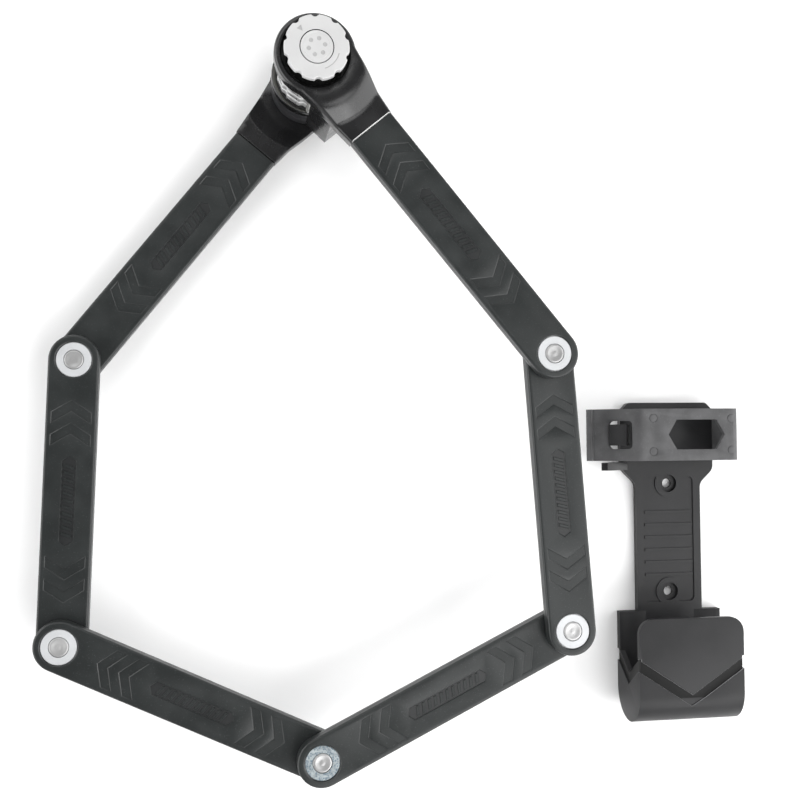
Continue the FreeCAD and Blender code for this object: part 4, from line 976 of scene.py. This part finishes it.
def boot():
    half, top, shallow = BOOT_HALF, BOOT_TOP, BAND_DEEP
    outer = Build()
    outer.prism(boot_side(top, 0, BOOT_HIGH), -half, half, "X")
    body = solid(outer)
    band = Build()
    band.prism([(-40, 18.6), (-half, 13.8), (0, -6.8), (half, 13.8), (40, 18.6), (40, 25.2), (half, 20.4),
                (0, -0.2), (-half, 20.4), (-40, 25.2)], 17.5, 40)
    combined(body, solid(band))
    for side in (-1, 1):
        strip = Build()
        low, high = sorted((side * 30.0, side * 33.0))
        strip.prism([(14.2, 40), (14.2, 33), (3.6, 17.5), (14.2, 2), (14.2, -4), (21, -4), (21, 2),
                     (10.4, 17.5), (21, 33), (21, 40)], low, high, "X")
        combined(body, solid(strip))
    core = Build()
    core.prism(boot_side(top, shallow, BOOT_HIGH - shallow), -half + shallow, half - shallow, "X")
    combined(body, solid(core), "UNION")
    room = Build()
    room.prism(boot_side(top + 5, 4.5, 32), -SIDE_INSIDE, SIDE_INSIDE, "X")
    combined(body, solid(room))
    slot = Build()
    slot.prism([(-15.05, 4.95), (15.05, 4.95), (15.05, 44), (-15.05, 44)], 1.45, 5)
    combined(body, solid(slot))
    notch = Build()
    notch.prism([(50, 4.6), (50, 31.9), (20.4, 31.9), (10.6, 17.5), (20.4, 4.6)], -45, 45, "X")
    combined(body, solid(notch))
    soft = 8.5
    for side in (-1, 1):
        corner = Build()
        bow = [(side * (half - soft + soft * math.sin(t)), top - soft + soft * math.cos(t)) for t in
               [math.pi / 2 * k / 10 for k in range(11)]]
        beyond = side * (half + 2)
        outline = [(side * (half - soft), top + 2)] + bow + [(beyond, top - soft), (beyond, top + 2)]
        corner.prism(outline, 31, 40)
        combined(body, solid(corner))
    bevelled(body, 0.4, 3, 28)
    for polygon in body.data.polygons:
        at, normal = polygon.center, polygon.normal
        in_front = normal.z > 0.95 and abs(at.z - BOOT_HIGH + shallow) < 0.05
        at_side = abs(normal.x) > 0.95 and abs(abs(at.x) - half + shallow) < 0.05
        along = at.y - 20.6 / half * abs(at.x)
        # Small faces on the band's stepped edges get material 2, the light grey painted highlight.
        step = polygon.area < 40 and at.z > 30 and min(abs(along + 6.8), abs(along + 0.2)) < 0.8
        polygon.material_index = 1 if in_front or at_side else 2 if step else 0
    return body


def spine():
    half, wide, low, high = 20.0, SIDE_INSIDE, BOOT_TOP, 166.0
    build = Build()
    build.prism(softened([
        (-half, low, 0), (half, low, 0), (half, 118, 6), (wide, 126, 6), (wide, 162, 3), (wide - 4, high, 3),
        (-wide + 4, high, 3), (-wide, 162, 3), (-wide, 126, 6), (-half, 118, 6),
    ]), 0, 4.5)
    body = solid(build)
    channel = Build()
    channel.prism([(-40, STRAP_LOW), (40, STRAP_LOW), (40, STRAP_HIGH), (-40, STRAP_HIGH)], -1, 1.45)
    combined(body, solid(channel))
    well = Build()
    well.prism(softened([(-15.5, 48, 3), (15.5, 48, 3), (15.5, 122, 3), (-15.5, 122, 3)]), 3.7, 6)
    combined(body, solid(well))
    for y in (54.0, 118.0):
        hole = Build()
        hole.turned([(0, -1), (2.75, -1), (2.75, 2.2), (5.2, 2.2), (5.2, 6), (0, 6)], 40, (0.0, y))
        boss = Build()
        boss.turned([(0, 2.5), (8.2, 2.5), (8.2, 4.4), (0, 4.4)], 48, (0.0, y))
        combined(body, solid(boss), "UNION")
        combined(body, solid(hole))
    for k in range(6):
        rib = Build()
        y = 64.0 + k * 7.4
        rib.prism([(-14.8, y - 0.8), (14.8, y - 0.8), (14.8, y + 0.8), (-14.8, y + 0.8)], 3.4, 4.3)
        combined(body, solid(rib), "UNION")
    tongue = Build()
    tongue.prism([(-TONGUE_HALF, 5), (TONGUE_HALF, 5), (TONGUE_HALF, 44), (-TONGUE_HALF, 44)], 1.5, 4.4)
    combined(body, solid(tongue), "UNION")
    return bevelled(body, 0.35, 2)


def strap():
    """The rubber band: behind the spine, round the right side and the front, then out to its tab."""
    along, out = Vector((-0.8137, -0.5813)), Vector((-0.5813, 0.8137))
    corner = Vector((-29.5, 35.0))
    tab, ridge, rise, thick = 30.5, 3.5, 1.6, 3.0
    foot, end = corner + along * (tab - ridge), corner + along * tab
    inner_end = end - out * thick
    inner_corner = inner_end - along * ((32.0 - inner_end.y) / -along.y)
    outline = softened([
        (-27, 0, 0), (31.3, 0, 5), (31.3, 35, 5.5), (*corner, 9), (*foot, 0.8),
        (*(foot + out * rise), 0.7), (*(end + out * rise), 0.7), (*inner_end, 0.7),
        (*inner_corner, 6), (SIDE_INSIDE, 32, 2.5), (SIDE_INSIDE, 1.5, 2), (-27, 1.5, 0),
    ], 6)
    build = Build()
    build.prism(outline, STRAP_LOW, STRAP_HIGH, "Y")
    body = solid(build)
    window = Build()
    window.prism(softened([(-12, 147, 0.8), (-7, 138.5, 0.8), (17, 138.5, 0.8), (22, 147, 0.8),
                           (17, 155.5, 0.8), (-7, 155.5, 0.8)]), 28, 40)
    combined(body, solid(window))
    slot = Build()
    slot.prism(softened([(0, -8, 2.2), (13.5, -8, 2.2), (13.5, 8, 2.2), (0, 8, 2.2)]), -5, 5)
    tool = solid(slot)
    start = corner + along * 4.0 - out * 1.5
    tool.data.transform(Matrix((
        (along.x, 0, out.x, start.x), (0, 1, 0, (STRAP_LOW + STRAP_HIGH) / 2), (along.y, 0, out.y, start.y),
        (0, 0, 0, 1),
    )))
    cleaned(tool.data)
    combined(body, tool)
    for x, y in ((-21.0, 156.4), (-21.0, 137.6), (26.0, 156.0), (26.0, 138.0)):
        dot = Build()
        dot.turned([(2.15, 34.7), (2.5, 34.7), (2.5, 36), (2.15, 36)], 32, (x, y), closed=True)
        combined(body, solid(dot))
    return bevelled(body, 0.45, 3, 30)


def catch():
    side = -SIDE_INSIDE
    hook = Build()
    hook.prism([
        (side - 0.2, 4.5), (side - 0.2, 25.5), (-33.5, 28.5), (-36.5, 33.0), (-44.3, 28.6), (-44.6, 26.4),
        (-38.0, 29.6), (-35.8, 25.4), (side - 2.8, 21.5), (side - 2.8, 4.5),
    ], 141, 153, "Y")
    body = solid(hook)
    for outline, low, high in (
        ([(side - 2.8, 4.5), (side - 0.2, 4.5), (side - 0.2, 9), (side - 2.8, 9)], 134, 160),
        ([(side - 0.1, 1), (side - 0.1, 13), (-43, 20), (-46, 18), (side - 5, 3)], 126.5, 131),
        ([(side - 2.7, 5), (side - 0.25, 5), (side - 0.25, 8.9), (side - 2.7, 8.9)], 127, 135),
    ):
        extra = Build()
        extra.prism(outline, low, high, "Y")
        combined(body, solid(extra), "UNION")
    return bevelled(body, 0.4, 2)


placed(boot(), "boot_cup", CARRIER_FRAME, "carrier", [RUBBER, BAND, BAND_STEP_HIGHLIGHT],
       ["carrier_boot"], 20)
placed(spine(), "spine_plate", CARRIER_FRAME, "carrier", [PLASTIC],
       ["carrier_spine", "spine_pad"], 20)
placed(strap(), "strap_band", CARRIER_FRAME, "carrier", [STRAP], ["carrier_strap"], 20)
placed(catch(), "catch_hook", CARRIER_FRAME, "carrier", [PLASTIC], ["strap_catch"], 20)

# ------------------------------------------------------------------ CAD nodes that stay in sight
for name, node in frame["nodes"].items():
    if not node.hide_render:
        made = INSIDE.get(slot_of[name], STEEL)
        node.data.materials.clear()
        node.data.materials.append(made)

# ------------------------------------------------------------------ floor, light, camera
scene = bpy.context.scene
scene.view_settings.view_transform = "Standard"
floor_mesh = bpy.data.meshes.new("floor")
floor_rim = [(x, y, 0) for x, y in ring(1.25, 96, (0.05, -0.18))]
floor_mesh.from_pydata(floor_rim, [], [tuple(range(96))])
floor = bpy.data.objects.new("floor", floor_mesh)
floor.location.z = -0.0004
pale = bpy.data.materials.new("floor_pale")
pale.use_nodes = True
pale.node_tree.nodes["Principled BSDF"].inputs["Base Color"].default_value = (0.92, 0.92, 0.92, 1)
pale.node_tree.nodes["Principled BSDF"].inputs["Roughness"].default_value = 0.9
pale.node_tree.nodes["Principled BSDF"].inputs["Specular IOR Level"].default_value = 0.1
floor_mesh.materials.append(pale)
scene.collection.objects.link(floor)

world = bpy.data.worlds.new("studio")
world.use_nodes = True
sky = world.node_tree
sky.nodes["Background"].inputs["Color"].default_value = (1, 1, 1, 1)
sky_place = sky.nodes.new("ShaderNodeTexCoord")
sky_parts = sky.nodes.new("ShaderNodeSeparateXYZ")
sky_fade = sky.nodes.new("ShaderNodeMapRange")
# The sky is full white low down and fades to a fifth overhead, so that the black parts keep their tone.
set_range(sky_fade, 0.3, 0.6, 1.0, 0.2)
sky.links.new(sky_place.outputs["Generated"], sky_parts.inputs["Vector"])
sky.links.new(sky_parts.outputs["Z"], sky_fade.inputs["Value"])
sky.links.new(sky_fade.outputs["Result"], sky.nodes["Background"].inputs["Strength"])
scene.world = world


def area_light(name, place, aim, size, glow):
    """A rectangular soft light; glow is its brightness beside a white surface's 1."""
    light = bpy.data.lights.new(name, "AREA")
    light.shape = "RECTANGLE"
    light.size, light.size_y = size
    light.energy = glow * math.pi * size[0] * size[1]
    lamp = bpy.data.objects.new(name, light)
    lamp.location = place
    lamp.rotation_mode = "QUATERNION"
    lamp.rotation_quaternion = (Vector(aim) - Vector(place)).to_track_quat("-Z", "Y")
    scene.collection.objects.link(lamp)


area_light("left", (-1.45, -0.15, 0.75), (0, -0.18, 0.1), (2.2, 1.3), 2.9)
area_light("right", (1.5, -0.3, 0.8), (0, -0.18, 0.1), (2.2, 1.4), 3.1)
area_light("front_right", (0.52, -1.05, 0.98), (0, -0.05, 0.05), (1.0, 0.7), 5.0)
area_light("back", (-0.25, 0.95, 1.25), (0, -0.1, 0.05), (1.2, 0.8), 2.6)
area_light("over_right", (0.52, -0.30, 1.25), (0.1, -0.2, 0), (0.45, 0.45), 3.2)

SENSOR_WIDE, FOCAL_LENGTH = 36.0, 48.996
CAMERA_AT, CAMERA_TURN = (-0.0464, -0.1971, 0.6212), (1.93, -9.11, -0.48)
lens = bpy.data.cameras.new("camera")
lens.sensor_width, lens.lens = SENSOR_WIDE, FOCAL_LENGTH
lens.clip_start, lens.clip_end = 0.01, 50
camera = bpy.data.objects.new("camera", lens)
camera.location = CAMERA_AT
camera.rotation_euler = [math.radians(turn) for turn in CAMERA_TURN]
scene.collection.objects.link(camera)
scene.camera = camera
